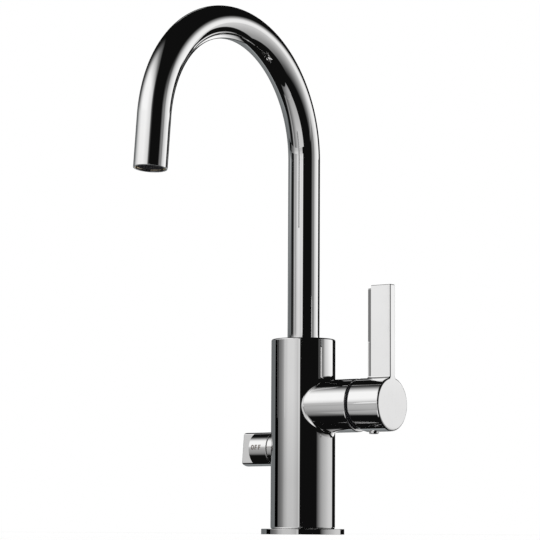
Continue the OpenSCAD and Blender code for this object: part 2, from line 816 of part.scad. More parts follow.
module valve_seal() {
    color(rubber_col) along_valve()
        washer(vcavity_r - valve_seal_lip, headwork_r - run, valve_floor, vfix_u);
}

// A ceramic disc of the valve with its two water holes
module valve_disc(u0, r) {
    along_valve() difference() {
        bore(r, u0, u0 + valve_disc_t);
        for (side = [-1, 1]) translate([0, side * disc_hole_off, 0])
            bore(disc_hole_r, u0 - eps, u0 + valve_disc_t + eps);
    }
}

module valve_fixed_disc() {
    color(ceramic_col) valve_disc(vfix_u, vcavity_r - run);
}

module valve_moving_disc() {
    color(ceramic_col) valve_disc(vmove_u, vcavity_r - loose);
}

module valve_spindle() {
    groove = spindle_ring_s + play;
    color(brass_col) along_valve() difference() {
        union() {
            bore(vcavity_r - air, drive_u, drive_end);
            bore(spindle_r, drive_u, square_u);
            translate([-square_w / 2, -square_w / 2, square_u - into])
                cube([square_w, square_w, square_l + into]);
        }
        washer(spindle_r - 2 * spindle_ring_s - run, spindle_r + eps, spindle_ring_u - groove,
               spindle_ring_u + groove);
    }
}

module valve_o_ring() {
    color(rubber_col) along_valve()
        translate([0, 0, spindle_ring_u]) ring_bead(spindle_r - spindle_ring_s, spindle_ring_s);
}

module shutoff_knob() {
    slab = tongue_t / 2;
    color(chrome_col) along_valve() difference() {
        soft_rod(knob_r, knob_u, knob_end, groove_edge, knob_edge);
        for (side = [-1, 1]) translate([-2 * knob_r, side > 0 ? slab : -slab - 2 * knob_r, knob_shoulder])
            cube([4 * knob_r, 2 * knob_r, tongue_l + eps]);
        translate([0, 0, knob_u - eps]) cylinder(r = spindle_r + air, h = square_u - knob_u + eps);
        translate([-square_w / 2 - seat, -square_w / 2 - seat, square_u - eps])
            cube([square_w + 2 * seat, square_w + 2 * seat, square_l + 2 * eps]);
    }
}

base_plate();
base_gasket();
mixer_body();
thrust_washer();
spout_bush();
spout_stop_screw();
spout_tube();
spout_nipple();
spout_o_rings();
outlet_sleeve();
aerator_housing();
aerator_insert();
aerator_gasket();
cartridge_base();
cartridge_seals();
cartridge_housing();
fixed_disc();
moving_disc();
disc_carrier();
stem_rotor();
stem_pin();
lever_stem();
retaining_nut();
trim_dome();
lever_handle();
set_screw();
screw_plug();
bezel_ring();
valve_headwork();
valve_seal();
valve_fixed_disc();
valve_moving_disc();
valve_spindle();
valve_o_ring();
shutoff_knob();
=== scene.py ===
"""Looks of the kitchen faucet: polished chrome shells, black and white plastics, brass, studio and camera.

Lengths in the classes are millimetres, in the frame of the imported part: +Z up, the spout reaches to -Y,
the lever is on +X. A form is turned into a mesh in metres only when its piece is made.
"""

import logging
import math
from collections.abc import Callable, Sequence
from dataclasses import dataclass, field
from enum import Enum
from typing import Any

import bpy
import numpy as np
from mathutils import Matrix, Vector

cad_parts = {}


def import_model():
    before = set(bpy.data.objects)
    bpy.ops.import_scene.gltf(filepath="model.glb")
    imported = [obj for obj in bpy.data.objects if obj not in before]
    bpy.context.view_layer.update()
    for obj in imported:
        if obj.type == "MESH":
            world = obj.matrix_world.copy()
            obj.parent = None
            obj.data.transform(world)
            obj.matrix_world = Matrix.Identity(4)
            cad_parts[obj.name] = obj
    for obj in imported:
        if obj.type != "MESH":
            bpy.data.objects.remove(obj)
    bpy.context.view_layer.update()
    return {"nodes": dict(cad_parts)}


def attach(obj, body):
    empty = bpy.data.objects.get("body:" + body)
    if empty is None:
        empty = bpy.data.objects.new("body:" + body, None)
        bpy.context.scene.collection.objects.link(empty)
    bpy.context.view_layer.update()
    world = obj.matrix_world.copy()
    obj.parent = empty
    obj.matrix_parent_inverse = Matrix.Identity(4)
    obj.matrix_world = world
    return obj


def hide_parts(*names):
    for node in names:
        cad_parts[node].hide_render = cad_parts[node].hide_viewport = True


MM = 0.001
NORMALS = "true_normal"
log = logging.getLogger("faucet")

Object = bpy.types.Object
Array = np.ndarray
Ring = Array
Row = tuple[float, ...]
Rows = Sequence[Row]


class Slot(Enum):
    """The record's material slots."""

    CHROME = "chrome"
    BRASS = "brass"
    BLACK_PLASTIC = "black_plastic"
    WHITE_PLASTIC = "white_plastic"
    RUBBER = "rubber"
    CERAMIC = "ceramic"
    STEEL = "steel"


class Body(Enum):
    """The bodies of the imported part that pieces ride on."""

    BODY = "body"
    SPOUT = "spout"
    LEVER = "lever"
    KNOB = "knob"


def unit(vector: Array) -> Array:
    """Returns the vectors of an array at length one."""
    length = np.linalg.norm(vector, axis=-1, keepdims=True)
    return vector / np.maximum(length, 1e-12)


class Form:
    """A closed surface in millimetres that knows the exact normal at every corner of every face."""

    def __init__(self) -> None:
        """Starts an empty surface."""
        self.points: list[Array] = []
        self.faces: list[Array] = []
        self.normals: list[Array] = []

    def add(self, points: Array) -> Ring:
        """Adds points.

        Args:
            points: rows of x, y and z.

        Returns:
            The numbers of the new points.
        """
        start = len(self.points)
        self.points.extend(np.atleast_2d(points))
        return np.arange(start, len(self.points))

    def face(self, corners: Sequence[int], normal: Array) -> None:
        """Adds one flat face, turned so that it faces along its normal.

        Args:
            corners: point numbers round the face.
            normal: the direction it faces.
        """
        loop = np.asarray(corners)
        ring = np.array([self.points[i] for i in loop])
        turn = np.cross(ring - ring[0], np.roll(ring, -1, axis=0) - ring[0]).sum(axis=0)
        if turn @ normal < 0:
            loop = loop[::-1]
        self.faces.append(loop)
        self.normals.append(np.tile(unit(np.asarray(normal, float)), (len(loop), 1)))

    def strip(self, first: Ring, second: Ring, first_normals: Array, second_normals: Array) -> None:
        """Adds the faces between two rings; a ring of one point is a pole.

        Args:
            first: point numbers of one ring.
            second: point numbers of the other ring.
            first_normals: normals at the first ring.
            second_normals: normals at the second ring.
        """
        sides = max(len(first), len(second))
        here = np.arange(sides)
        after = (here + 1) % sides
        if len(first) == 1:
            first = np.repeat(first, sides)
        if len(second) == 1:
            second = np.repeat(second, sides)
        quads = np.stack([first[here], first[after], second[after], second[here]], axis=1)
        normals = np.stack(
            [first_normals[here], first_normals[after], second_normals[after], second_normals[here]], axis=1
        )
        if quads[0, 0] == quads[0, 1]:
            quads, normals = quads[:, [0, 2, 3]], normals[:, [0, 2, 3]]
        elif quads[0, 2] == quads[0, 3]:
            quads, normals = quads[:, :3], normals[:, :3]
        place = np.array(self.points)[quads]
        turn = np.cross(place[:, 1] - place[:, 0], place[:, 2] - place[:, 0])
        if (turn * normals.mean(axis=1)).sum() < 0:
            quads, normals = quads[:, ::-1], normals[:, ::-1]
        self.faces.extend(quads)
        self.normals.extend(normals)

    def skin(self, rows: Sequence[tuple[Ring, Array]]) -> None:
        """Adds the faces between neighbouring rings, each given with its normals."""
        for (first, a), (second, b) in zip(rows, rows[1:]):
            self.strip(first, second, a, b)


@dataclass(frozen=True)
class Corner:
    """A corner of an outline that is turned: radius, height, and the rounding of its edge."""

    r: float
    h: float
    edge: float = 0.0
    steps: int = 6


@dataclass(frozen=True)
class Axis:
    """The straight line that a form is turned about."""

    origin: tuple[float, float, float] = (0.0, 0.0, 0.0)
    along: tuple[float, float, float] = (0.0, 0.0, 1.0)
    across: tuple[float, float, float] = (1.0, 0.0, 0.0)

    def frame(self, height: float) -> tuple[Array, Array, Array, Array]:
        """Returns the middle, the direction along, and the two directions across at a height."""
        along, across = unit(np.array(self.along)), unit(np.array(self.across))
        return np.array(self.origin) + height * along, along, across, np.cross(along, across)


ARM_Z = 98.5
ARM_AXIS = Axis((0, 0, ARM_Z), (1, 0, 0), (0, 1, 0))
VALVE_Z = 66.4


@dataclass(frozen=True)
class SpoutLine:
    """The bent line of the spout: upright riser, round arch, straight outlet leg."""

    arch_z: float = 292.4
    arch_r: float = 93.3
    turn: float = math.radians(174.75)
    leg: float = 39.2

    @property
    def end(self) -> float:
        """The height along the line at the tip of the leg."""
        return self.arch_z + self.arch_r * self.turn + self.leg

    def frame(self, height: float) -> tuple[Array, Array, Array, Array]:
        """Works out where the line is and how it runs.

        Args:
            height: how far along the line.

        Returns:
            The middle, the direction along, and the two directions across.
        """
        bend = min(max(height - self.arch_z, 0.0) / self.arch_r, self.turn)
        along = np.array([0.0, -math.sin(bend), math.cos(bend)])
        reach, lift = self.arch_r * (1 - math.cos(bend)), self.arch_r * math.sin(bend)
        middle = np.array([0.0, -reach, self.arch_z + lift])
        straight = height - self.arch_z if height < self.arch_z else max(height - self.end + self.leg, 0.0)
        across = np.array([1.0, 0.0, 0.0])
        return middle + straight * along, along, across, np.cross(along, across)


def outline_marks(rows: Rows, closed: bool) -> list[tuple[Array, float, float]]:
    """Turns corners with rounded edges into points along the outline.

    Args:
        rows: the outline's corners in order, each with the values of a Corner.
        closed: whether the last corner joins the first; else both ends lie on the axis.

    Returns:
        For each point its place and the direction of travel before and after it, as angles.
    """
    marks: list[tuple[Array, float, float]] = []
    corners = [Corner(*row) for row in rows]
    count = len(corners)
    for i, corner in enumerate(corners):
        here = np.array([corner.r, corner.h])
        before, after = corners[i - 1], corners[(i + 1) % count]
        back = unit(np.array([before.r, before.h]) - here)
        ahead = unit(np.array([after.r, after.h]) - here)
        if not closed and i == 0:
            back = -ahead
        if not closed and i == count - 1:
            ahead = -back
        come, leave = math.atan2(-back[1], -back[0]), math.atan2(ahead[1], ahead[0])
        if not corner.edge:
            marks.append((here, come, leave))
            continue
        half = 0.5 * math.acos(max(-1.0, min(1.0, float(back @ ahead))))
        middle = here + unit(back + ahead) * corner.edge / math.sin(half)
        turn = math.remainder(leave - come, 2 * math.pi)
        for step in range(corner.steps + 1):
            angle = come + turn * step / corner.steps
            arm = np.array([math.sin(angle), -math.cos(angle)]) * math.copysign(corner.edge, turn)
            marks.append((middle + arm, angle, angle))
    return marks


def turned(rows: Rows, line: Axis | SpoutLine, sides: int = 128, closed: bool = True) -> Form:
    """Turns an outline about a line.

    Args:
        rows: the outline's corners in order, each with the values of a Corner.
        line: the axis, straight or bent.
        sides: how many faces go round.
        closed: whether the outline is a loop; else both its ends lie on the axis.

    Returns:
        The turned form.
    """
    marks = outline_marks(rows, closed)
    places = np.array([mark[0] for mark in marks])
    area = sum(a[0] * b[1] - a[1] * b[0] for a, b in zip(places, np.roll(places, -1, axis=0)))
    side = math.copysign(1.0, area)
    angles = 2 * math.pi * (np.arange(sides) + 0.5) / sides
    form, rings, frames = Form(), [], []
    for (r, h), _, _ in marks:
        middle, along, across, up = line.frame(h)
        out = np.cos(angles)[:, None] * across + np.sin(angles)[:, None] * up
        rings.append(form.add(middle + r * out if r > 1e-6 else middle))
        frames.append((along, out))
    last = len(marks) if closed else len(marks) - 1
    for i in range(last):
        j = (i + 1) % len(marks)
        normals = []
        for (along, out), angle in ((frames[i], marks[i][2]), (frames[j], marks[j][1])):
            normals.append(side * (math.sin(angle) * out - math.cos(angle) * along))
        form.strip(rings[i], rings[j], normals[0], normals[1])
    return form


def block(low: Sequence[float], high: Sequence[float], spin: Matrix | None = None) -> Form:
    """Makes a plain box, used only to cut with.

    Args:
        low: its lowest corner.
        high: its highest corner.
        spin: where it is put, in millimetres.

    Returns:
        The box.
    """
    form = Form()
    place = spin or Matrix.Identity(4)
    points = [(x, y, z) for x in (low[0], high[0]) for y in (low[1], high[1]) for z in (low[2], high[2])]
    form.add(np.array([place @ Vector(p) for p in points]))
    turn = np.array(place.to_3x3())
    for corners, normal in (
        ((0, 1, 3, 2), (-1, 0, 0)),
        ((4, 5, 7, 6), (1, 0, 0)),
        ((0, 1, 5, 4), (0, -1, 0)),
        ((2, 3, 7, 6), (0, 1, 0)),
        ((0, 2, 6, 4), (0, 0, -1)),
        ((1, 3, 7, 5), (0, 0, 1)),
    ):
        form.face(corners, turn @ np.array(normal, float))
    return form


def rod(radius: float, start: float, end: float, line: Axis, sides: int = 96) -> Form:
    """Returns a plain round bar, used to cut holes with or to join."""
    return turned(((0, start), (radius, start), (radius, end), (0, end)), line, sides, closed=False)


def linked(name: str, data: Any) -> Object:
    """Makes an object and links it to the scene.

    Args:
        name: the object's name.
        data: what it holds.

    Returns:
        The object.
    """
    made = bpy.data.objects.new(name, data)
    bpy.context.scene.collection.objects.link(made)
    return made


def mesh_object(name: str, points: Sequence[Any], faces: Sequence[Any]) -> Object:
    """Makes a mesh object and links it to the scene.

    Args:
        name: the name of the object and its mesh.
        points: places in metres.
        faces: point numbers of each face.

    Returns:
        The object.
    """
    mesh = bpy.data.meshes.new(name)
    mesh.from_pydata(points, [], faces)
    return linked(name, mesh)


def raw_object(name: str, form: Form) -> Object:
    """Makes an object from a form, with the exact normals kept as a face-corner attribute.

    Args:
        name: the object's name.
        form: its shape in millimetres.

    Returns:
        The object, linked to the scene.
    """
    made = mesh_object(name, [tuple(p * MM) for p in form.points], [tuple(map(int, f)) for f in form.faces])
    held = made.data.attributes.new(NORMALS, "FLOAT_VECTOR", "CORNER")
    held.data.foreach_set("vector", np.concatenate(form.normals).astype(np.float32).ravel())
    return made


def settle_normals(mesh: bpy.types.Mesh) -> None:
    """Gives the mesh the exact normals that its face corners carry, and drops the attribute.

    Args:
        mesh: a mesh made by raw_object, cut or not.
    """
    held = mesh.attributes[NORMALS]
    normals = np.zeros(len(mesh.loops) * 3, np.float32)
    held.data.foreach_get("vector", normals)
    normals = unit(normals.reshape(-1, 3).astype(float))
    flat = np.zeros(len(mesh.polygons) * 3, np.float32)
    mesh.polygons.foreach_get("normal", flat)
    totals = np.zeros(len(mesh.polygons), np.int32)
    mesh.polygons.foreach_get("loop_total", totals)
    flat = np.repeat(flat.reshape(-1, 3).astype(float), totals, axis=0)
    agree = (normals * flat).sum(axis=1)
    normals[agree < 0] *= -1
    lost = np.abs(agree) < 0.5
    normals[lost] = flat[lost]
    mesh.polygons.foreach_set("use_smooth", np.ones(len(mesh.polygons), bool))
    mesh.normals_split_custom_set(normals.tolist())
    mesh.attributes.remove(mesh.attributes[NORMALS])


def carve(base: Object, joins: Sequence[Form], cuts: Sequence[Form]) -> None:
    """Joins forms to a piece, then cuts forms out of it.

    Args:
        base: the piece to work on.
        joins: what is joined to it.
        cuts: what is cut out of it.
    """
    for action, form in [("UNION", form) for form in joins] + [("DIFFERENCE", form) for form in cuts]:
        tool = raw_object("tool", form)
        change = base.modifiers.new("carve", "BOOLEAN")
        change.operation, change.solver, change.object = action, "EXACT", tool
        graph = bpy.context.evaluated_depsgraph_get()
        mesh = bpy.data.meshes.new_from_object(base.evaluated_get(graph), depsgraph=graph)
        base.modifiers.clear()
        base.data = mesh
        bpy.data.meshes.remove(tool.data)


class Graph:
    """Adds nodes to a node tree and feeds their sockets by name."""

    def __init__(self, tree: bpy.types.NodeTree) -> None:
        """Works on one tree."""
        self.tree = tree

    @classmethod
    def fresh(cls, owner: Any) -> "Graph":
        """Empties the node tree of a material or the world.

        Args:
            owner: the material or world.

        Returns:
            The graph of its tree.
        """
        owner.use_nodes = True
        owner.node_tree.nodes.clear()
        return cls(owner.node_tree)

    def feed(self, socket: bpy.types.NodeSocket, value: Any) -> None:
        """Feeds an input.

        Args:
            socket: the input.
            value: an output, a node that gives its first output, or a plain value.
        """
        if isinstance(value, bpy.types.Node):
            value = value.outputs[0]
        if isinstance(value, bpy.types.NodeSocket):
            self.tree.links.new(value, socket)
        else:
            socket.default_value = (*value, 1.0) if socket.type == "RGBA" else value

    def node(self, kind: str, feeds: dict[Any, Any] | None = None, **settings: Any) -> bpy.types.Node:
        """Adds a node.

        Args:
            kind: the node's type, without the ShaderNode in front.
            feeds: what feeds each input, by name or number.
            settings: the node's own options.

        Returns:
            The node.
        """
        made = self.tree.nodes.new("ShaderNode" + kind)
        for key, value in settings.items():
            setattr(made, key, value)
        for key, value in (feeds or {}).items():
            self.feed(made.inputs[key], value)
        return made

    def math(self, operation: str, *values: Any, clamp: bool = False) -> bpy.types.Node:
        """Returns a new Math node."""
        return self.node("Math", dict(enumerate(values)), operation=operation, use_clamp=clamp)

    def ramp(self, value: Any, low: float, high: float, to_low: float = 0.0, to_high: float = 1.0) -> Any:
        """Returns a new smooth Map Range node from low..high to to_low..to_high."""
        feeds = {"Value": value, "From Min": low, "From Max": high, "To Min": to_low, "To Max": to_high}
        return self.node("MapRange", feeds, interpolation_type="SMOOTHSTEP")

    def mix(self, amount: Any, first: Any, second: Any) -> bpy.types.NodeSocket:
        """Adds a colour Mix and returns its output."""
        return self.node("Mix", {0: amount, 6: first, 7: second}, data_type="RGBA").outputs[2]


class Effect(Graph):
    """A shader node group with float inputs and one float output, drawn over the object's coordinates."""

    def __init__(self, name: str, output: str, **inputs: float) -> None:
        """Starts the group.

        Args:
            name: the group's name.
            output: the output's name.
            inputs: the usual value of each input.
        """
        super().__init__(bpy.data.node_groups.new(name, "ShaderNodeTree"))
        for key, value in inputs.items():
            socket = self.tree.interface.new_socket(name=key, in_out="INPUT", socket_type="NodeSocketFloat")
            socket.default_value = value
        self.tree.interface.new_socket(name=output, in_out="OUTPUT", socket_type="NodeSocketFloat")
        self.given = self.tree.nodes.new("NodeGroupInput")
        self.result = self.tree.nodes.new("NodeGroupOutput")
        self.place = self.node("TexCoord").outputs["Object"]

    def noise(self, scale: Any, detail: Any, place: Any = None, **more: Any) -> bpy.types.NodeSocket:
        """Adds a Noise texture and returns its height."""
        feeds = {"Vector": self.place if place is None else place, "Scale": scale, "Detail": detail, **more}
        return self.node("TexNoise", feeds).outputs["Fac"]

    def stretched(self, *scale: float) -> bpy.types.Node:
        """Returns the object's coordinates, scaled along each axis."""
        return self.node("Mapping", {"Vector": self.place, "Scale": scale})

    def done(self, value: Any) -> bpy.types.NodeTree:
        """Puts the value out and returns the group."""
        self.feed(self.result.inputs[0], value)
        return self.tree


class Effects:
    """The shader node groups that the finishes share, each built once."""

    def __init__(self) -> None:
        """Builds the groups."""
        self.edge_wear = self.build_edge_wear()
        self.hand_marks = self.build_hand_marks()
        self.grain = self.build_grain()
        self.turning = self.build_turning()

    def build_edge_wear(self) -> bpy.types.NodeTree:
        """Returns a mask that is high on rubbed edges and breaks up along them."""
        group = Effect("edge_wear", "Mask", Width=0.0005, Amount=1.0)
        rounded = group.node("Bevel", {"Radius": group.given.outputs["Width"]}, samples=6)
        sharp = group.node("NewGeometry").outputs["Normal"]
        facing = group.node("VectorMath", {0: rounded, 1: sharp}, operation="DOT_PRODUCT").outputs["Value"]
        bend = group.ramp(group.math("SUBTRACT", 1.0, facing), 0.01, 0.25)
        broken = group.math("MULTIPLY", bend, group.ramp(group.noise(420.0, 3.0), 0.3, 0.62, 0.25))
        return group.done(group.math("MULTIPLY", broken, group.given.outputs["Amount"], clamp=True))

    def build_hand_marks(self) -> bpy.types.NodeTree:
        """Returns a soft mask of wiped patches and faint water spots."""
        group = Effect("hand_marks", "Mask", Scale=40.0, Cover=0.5)
        wide = group.noise(group.given.outputs["Scale"], 4.0)
        wiped = group.noise(260.0, 2.0, group.stretched(1.0, 1.0, 0.35), Distortion=0.4)
        high = group.math("SUBTRACT", 1.0, group.given.outputs["Cover"])
        patch = group.math("SUBTRACT", wide, group.math("MULTIPLY", high, 0.6))
        broad, fine = group.ramp(patch, 0.0, 0.45), group.ramp(wiped, 0.3, 0.7, 0.4)
        return group.done(group.math("MULTIPLY", broad, fine))

    def build_grain(self) -> bpy.types.NodeTree:
        """Returns the height of a fine moulded or cast grain."""
        group = Effect("grain", "Height", Scale=2500.0, Detail=2.0)
        return group.done(group.noise(group.given.outputs["Scale"], group.given.outputs["Detail"]))

    def build_turning(self) -> bpy.types.NodeTree:
        """Returns the height of fine tool lines that run round a turned piece."""
        group = Effect("turning", "Height", Scale=9000.0, Waver=0.6)
        squeezed, waver = group.stretched(0.06, 0.06, 1.0), group.given.outputs["Waver"]
        return group.done(group.noise(group.given.outputs["Scale"], 3.0, squeezed, Roughness=waver))


class Texture(Enum):
    """The fine relief that a finish shows."""

    GRAIN = "grain"
    TURNING = "turning"


@dataclass(frozen=True)
class Finish:
    """One finish: its colours, gloss, relief, hand marks and rubbed edges."""

    name: str
    color: tuple[float, float, float]
    rubbed: tuple[float, float, float]
    metallic: float
    smooth: float
    rough: float
    slot: Slot | None = None
    texture: Texture = Texture.GRAIN
    scale: float = 2500.0
    relief: float = 0.00001
    edge_width: float = 0.0005
    edge_amount: float = 0.5
    marks_scale: float = 40.0
    marks_cover: float = 0.5
    wiped_tone: float = 0.9
    wiped_share: float = 0.35

    def material(self, effects: Effects) -> bpy.types.Material:
        """Builds the finish once, and returns it again when asked again.

        Args:
            effects: the shared node groups.

        Returns:
            The material.
        """
        made = bpy.data.materials.get(self.name)
        if made:
            return made
        made = bpy.data.materials.new(self.name)
        graph = Graph.fresh(made)
        wear = graph.node("Group", {"Width": self.edge_width, "Amount": self.edge_amount},
                          node_tree=effects.edge_wear)
        marks = graph.node("Group", {"Scale": self.marks_scale, "Cover": self.marks_cover},
                           node_tree=effects.hand_marks)
        relief = effects.grain if self.texture is Texture.GRAIN else effects.turning
        height = graph.node("Group", {"Scale": self.scale}, node_tree=relief)
        wiped = tuple(self.wiped_tone * part for part in self.color)
        tone = graph.mix(graph.math("MULTIPLY", marks, self.wiped_share), self.color, wiped)
        shader = graph.node("BsdfPrincipled", {
            "Base Color": graph.mix(wear, tone, self.rubbed),
            "Roughness": graph.ramp(marks, 0.0, 1.0, self.smooth, self.rough),
            "Normal": graph.node("Bump", {"Height": height, "Distance": self.relief, "Strength": 1.0}),
            "Metallic": self.metallic,
        })
        graph.node("OutputMaterial", {"Surface": shader})
        return made


CHROME = Finish(
    "polished_chrome", (0.915, 0.912, 0.91), (0.95, 0.95, 0.955), 1.0, 0.018, 0.05, Slot.CHROME,
    scale=28.0, relief=0.000012, edge_amount=0.35, marks_scale=26.0, marks_cover=0.4,
)
BRASS = Finish(
    "turned_brass", (0.72, 0.56, 0.3), (0.85, 0.7, 0.42), 1.0, 0.16, 0.34, Slot.BRASS,
    texture=Texture.TURNING, relief=0.00001, scale=5200.0,
)
BLACK_PLASTIC = Finish(
    "black_plastic", (0.02, 0.02, 0.022), (0.06, 0.06, 0.064), 0.0, 0.32, 0.5, Slot.BLACK_PLASTIC,
    relief=0.00002, scale=3800.0,
)
WHITE_PLASTIC = Finish(
    "white_plastic", (0.8, 0.8, 0.77), (0.88, 0.88, 0.86), 0.0, 0.3, 0.5, Slot.WHITE_PLASTIC,
    relief=0.00002, scale=3800.0,
)
RUBBER = Finish(
    "seal_rubber", (0.03, 0.03, 0.032), (0.07, 0.07, 0.072), 0.0, 0.55, 0.8, Slot.RUBBER,
    relief=0.00003, scale=4500.0,
)
CERAMIC = Finish(
    "ground_ceramic", (0.88, 0.87, 0.83), (0.93, 0.92, 0.9), 0.0, 0.12, 0.22, Slot.CERAMIC,
    relief=0.000004, scale=5200.0,
)
STEEL = Finish(
    "turned_steel", (0.55, 0.56, 0.58), (0.72, 0.73, 0.75), 1.0, 0.2, 0.36, Slot.STEEL,
    texture=Texture.TURNING, relief=0.000008, scale=6400.0,
)
ENGRAVING = Finish(
    "engraving_paint", (0.13, 0.1, 0.085), (0.24, 0.2, 0.17), 0.0, 0.35, 0.6, relief=0.00001, scale=5200.0,
)


@dataclass
class Assembly:
    """What every sub-assembly needs to make and dress its pieces."""

    effects: Effects

    def piece(
        self,
        name: str,
        form: Form,
        body: Body,
        finish: Finish,
        nodes: Sequence[str] = (),
        joins: Sequence[Form] = (),
        cuts: Sequence[Form] = (),
    ) -> Object:
        """Makes one piece, dresses it and puts it on its body.

        Args:
            name: the piece's name.
            form: its shape before it is carved.
            body: the body that it rides on.
            finish: its finish.
            nodes: the nodes that it replaces.
            joins: what is joined to it.
            cuts: what is cut out of it.

        Returns:
            The piece.
        """
        made = raw_object(name, form)
        carve(made, joins, cuts)
        made.data.name = name
        settle_normals(made.data)
        made.data.materials.clear()
        made.data.materials.append(finish.material(self.effects))
        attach(made, body.value)
        if nodes:
            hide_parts(*nodes)
        log.info("%s: %d faces, rides on %s", name, len(made.data.polygons), body.value)
        return made


@dataclass
class DeckSide(Assembly):
    """The base plate and the body with its side arm."""

    plate_r: float = 32.2
    plate_h: float = 4.3
    plate_edge: float = 0.4
    plate_bore: float = 17.5
    rim_r: float = 21.3
    rim_top: float = 6.3
    groove: tuple[float, float, float] = (20.5, 25.5, 1.2)
    body_r: float = 25.0
    body_top: float = 151.3
    body_edge: float = 1.3
    hose_r: float = 21.4
    hose_from: float = 3.0
    hose_top: float = 34.3
    inlet: tuple[float, float, float] = (12.0, 4.5, 10.0)
    inlet_directions: tuple[float, ...] = (40, -40, 180)
    stud: tuple[float, float] = (3.4, 14.0)
    stud_direction: float = -110
    socket_r: float = 12.35
    socket_z: float = 110.5
    bush_seat: tuple[float, float] = (14.45, 138.0)
    stop_z: float = 124.65
    stop_r: float = 2.5
    stop_span: tuple[float, float] = (12.0, 26.0)
    arm_r: float = 20.5
    arm_from: float = 4.0
    arm_end: float = 53.0
    arm_edge: float = 1.0
    chamber: tuple[float, float] = (17.5, 29.8)
    thread: tuple[float, float] = (18.0, 47.6)
    root_r: float = 4.0
    root_sunk: float = 0.5
    root_steps: int = 12
    root_sides: int = 256
    valve_room: Rows = ((0, 6), (8, 6), (8, 21.5), (11, 21.5), (11, 26), (0, 26))

    def build(self) -> None:
        """Makes the plate, the body and the soft root of its arm."""
        self.plate()
        self.body()
        self.root()

    def root(self) -> Object:
        """Returns the soft hollow round the arm's root, as a ball rolled along it leaves."""
        form = Form()
        turns = 2 * math.pi * np.arange(self.root_sides) / self.root_sides
        reach, lift = self.body_r + self.root_r, self.arm_r + self.root_r
        balls = np.stack([np.sqrt(reach**2 - (lift * np.cos(turns)) ** 2), lift * np.cos(turns),
                          ARM_Z + lift * np.sin(turns)], axis=1)
        to_body = -unit(balls * (1, 1, 0))
        to_arm = -unit((balls - (0, 0, ARM_Z)) * (0, 1, 1))
        span = np.arccos(np.sum(to_body * to_arm, axis=1))
        rows = []
        for share in np.arange(self.root_steps + 1) / self.root_steps:
            out = (np.sin((1 - share) * span)[:, None] * to_body + np.sin(share * span)[:, None] * to_arm)
            out /= np.sin(span)[:, None]
            rows.append((form.add(balls + self.root_r * out), -out))
        form.skin(rows)
        deep = self.root_r + self.root_sunk
        rings = [rows[-1][0]]
        for by_body, by_arm in ((self.root_sunk, deep), (deep, deep), (deep, self.root_sunk)):
            rings.append(form.add(balls + by_body * to_body + by_arm * to_arm))
        rings.append(rows[0][0])
        for first, second, facing in zip(rings, rings[1:], (-to_body, to_arm, to_body, -to_arm)):
            form.strip(first, second, facing, facing)
        return self.piece("arm_root", form, Body.BODY, CHROME)

    def plate(self) -> Object:
        """Returns the base plate with its locating rim, bore and gasket groove."""
        near, far, deep = self.groove
        corners = [
            (self.plate_bore, 0), (near, 0), (near, deep), (far, deep), (far, 0),
            (self.plate_r, 0, 0.15, 3), (self.plate_r, self.plate_h, self.plate_edge),
            (self.rim_r, self.plate_h), (self.rim_r, self.rim_top, 0.3, 3),
            (self.plate_bore, self.rim_top, 0.3, 3),
        ]
        form = turned(corners, Axis(), 192)
        return self.piece("base_plate_shell", form, Body.BODY, CHROME, ["base_plate"])

    def body(self) -> Object:
        """Returns the upright body and its arm in one, with the rooms that its insides sit in."""
        upright = [
            (0, self.plate_h), (self.body_r, self.plate_h, self.body_edge, 10),
            (self.body_r, self.body_top, self.body_edge, 10), (0, self.body_top),
        ]
        arm = [
            (0, self.arm_from), (self.arm_r, self.arm_from), (self.arm_r, self.arm_end, self.arm_edge, 8),
            (0, self.arm_end),
        ]
        seat_r, seat_z = self.bush_seat
        socket = [
            (0, self.socket_z), (self.socket_r, self.socket_z), (self.socket_r, seat_z),
            (seat_r, seat_z), (seat_r, self.body_top - 0.3), (seat_r + 1, self.body_top + 0.7),
            (0, self.body_top + 0.7),
        ]
        chamber_r, floor = self.chamber
        thread_r, thread_x = self.thread
        chamber = [
            (0, floor), (chamber_r, floor), (chamber_r, thread_x), (thread_r, thread_x),
            (thread_r, self.arm_end - 0.4), (thread_r + 1, self.arm_end + 0.6),
            (0, self.arm_end + 0.6),
        ]
        valve_axis = Axis((0, 0, VALVE_Z), (-1, 0, 0), (0, 1, 0))
        arm_form = turned(arm, ARM_AXIS, 256, closed=False)
        cuts = [
            rod(self.hose_r, self.hose_from, self.hose_top, Axis(), 128),
            turned(socket, Axis(), 128, closed=False),
            turned(chamber, ARM_AXIS, 128, closed=False),
            turned(self.valve_room, valve_axis, 96, closed=False),
            rod(self.stop_r, *self.stop_span, Axis((0, 0, self.stop_z), (0, 1, 0), (1, 0, 0)), 48),
        ]
        ring_r, inlet_r, inlet_d = self.inlet
        stud_r, stud_d = self.stud
        holes = [(direction, inlet_r, inlet_d) for direction in self.inlet_directions]
        for direction, radius, depth in (*holes, (self.stud_direction, stud_r, stud_d)):
            angle = math.radians(direction)
            hole_axis = Axis((ring_r * math.cos(angle), ring_r * math.sin(angle), 0))
            cuts.append(rod(radius, self.hose_top - 1, self.hose_top + depth, hole_axis, 48))
        form = turned(upright, Axis(), 256, closed=False)
        return self.piece("body_shell", form, Body.BODY, CHROME, ["mixer_body"], [arm_form], cuts)


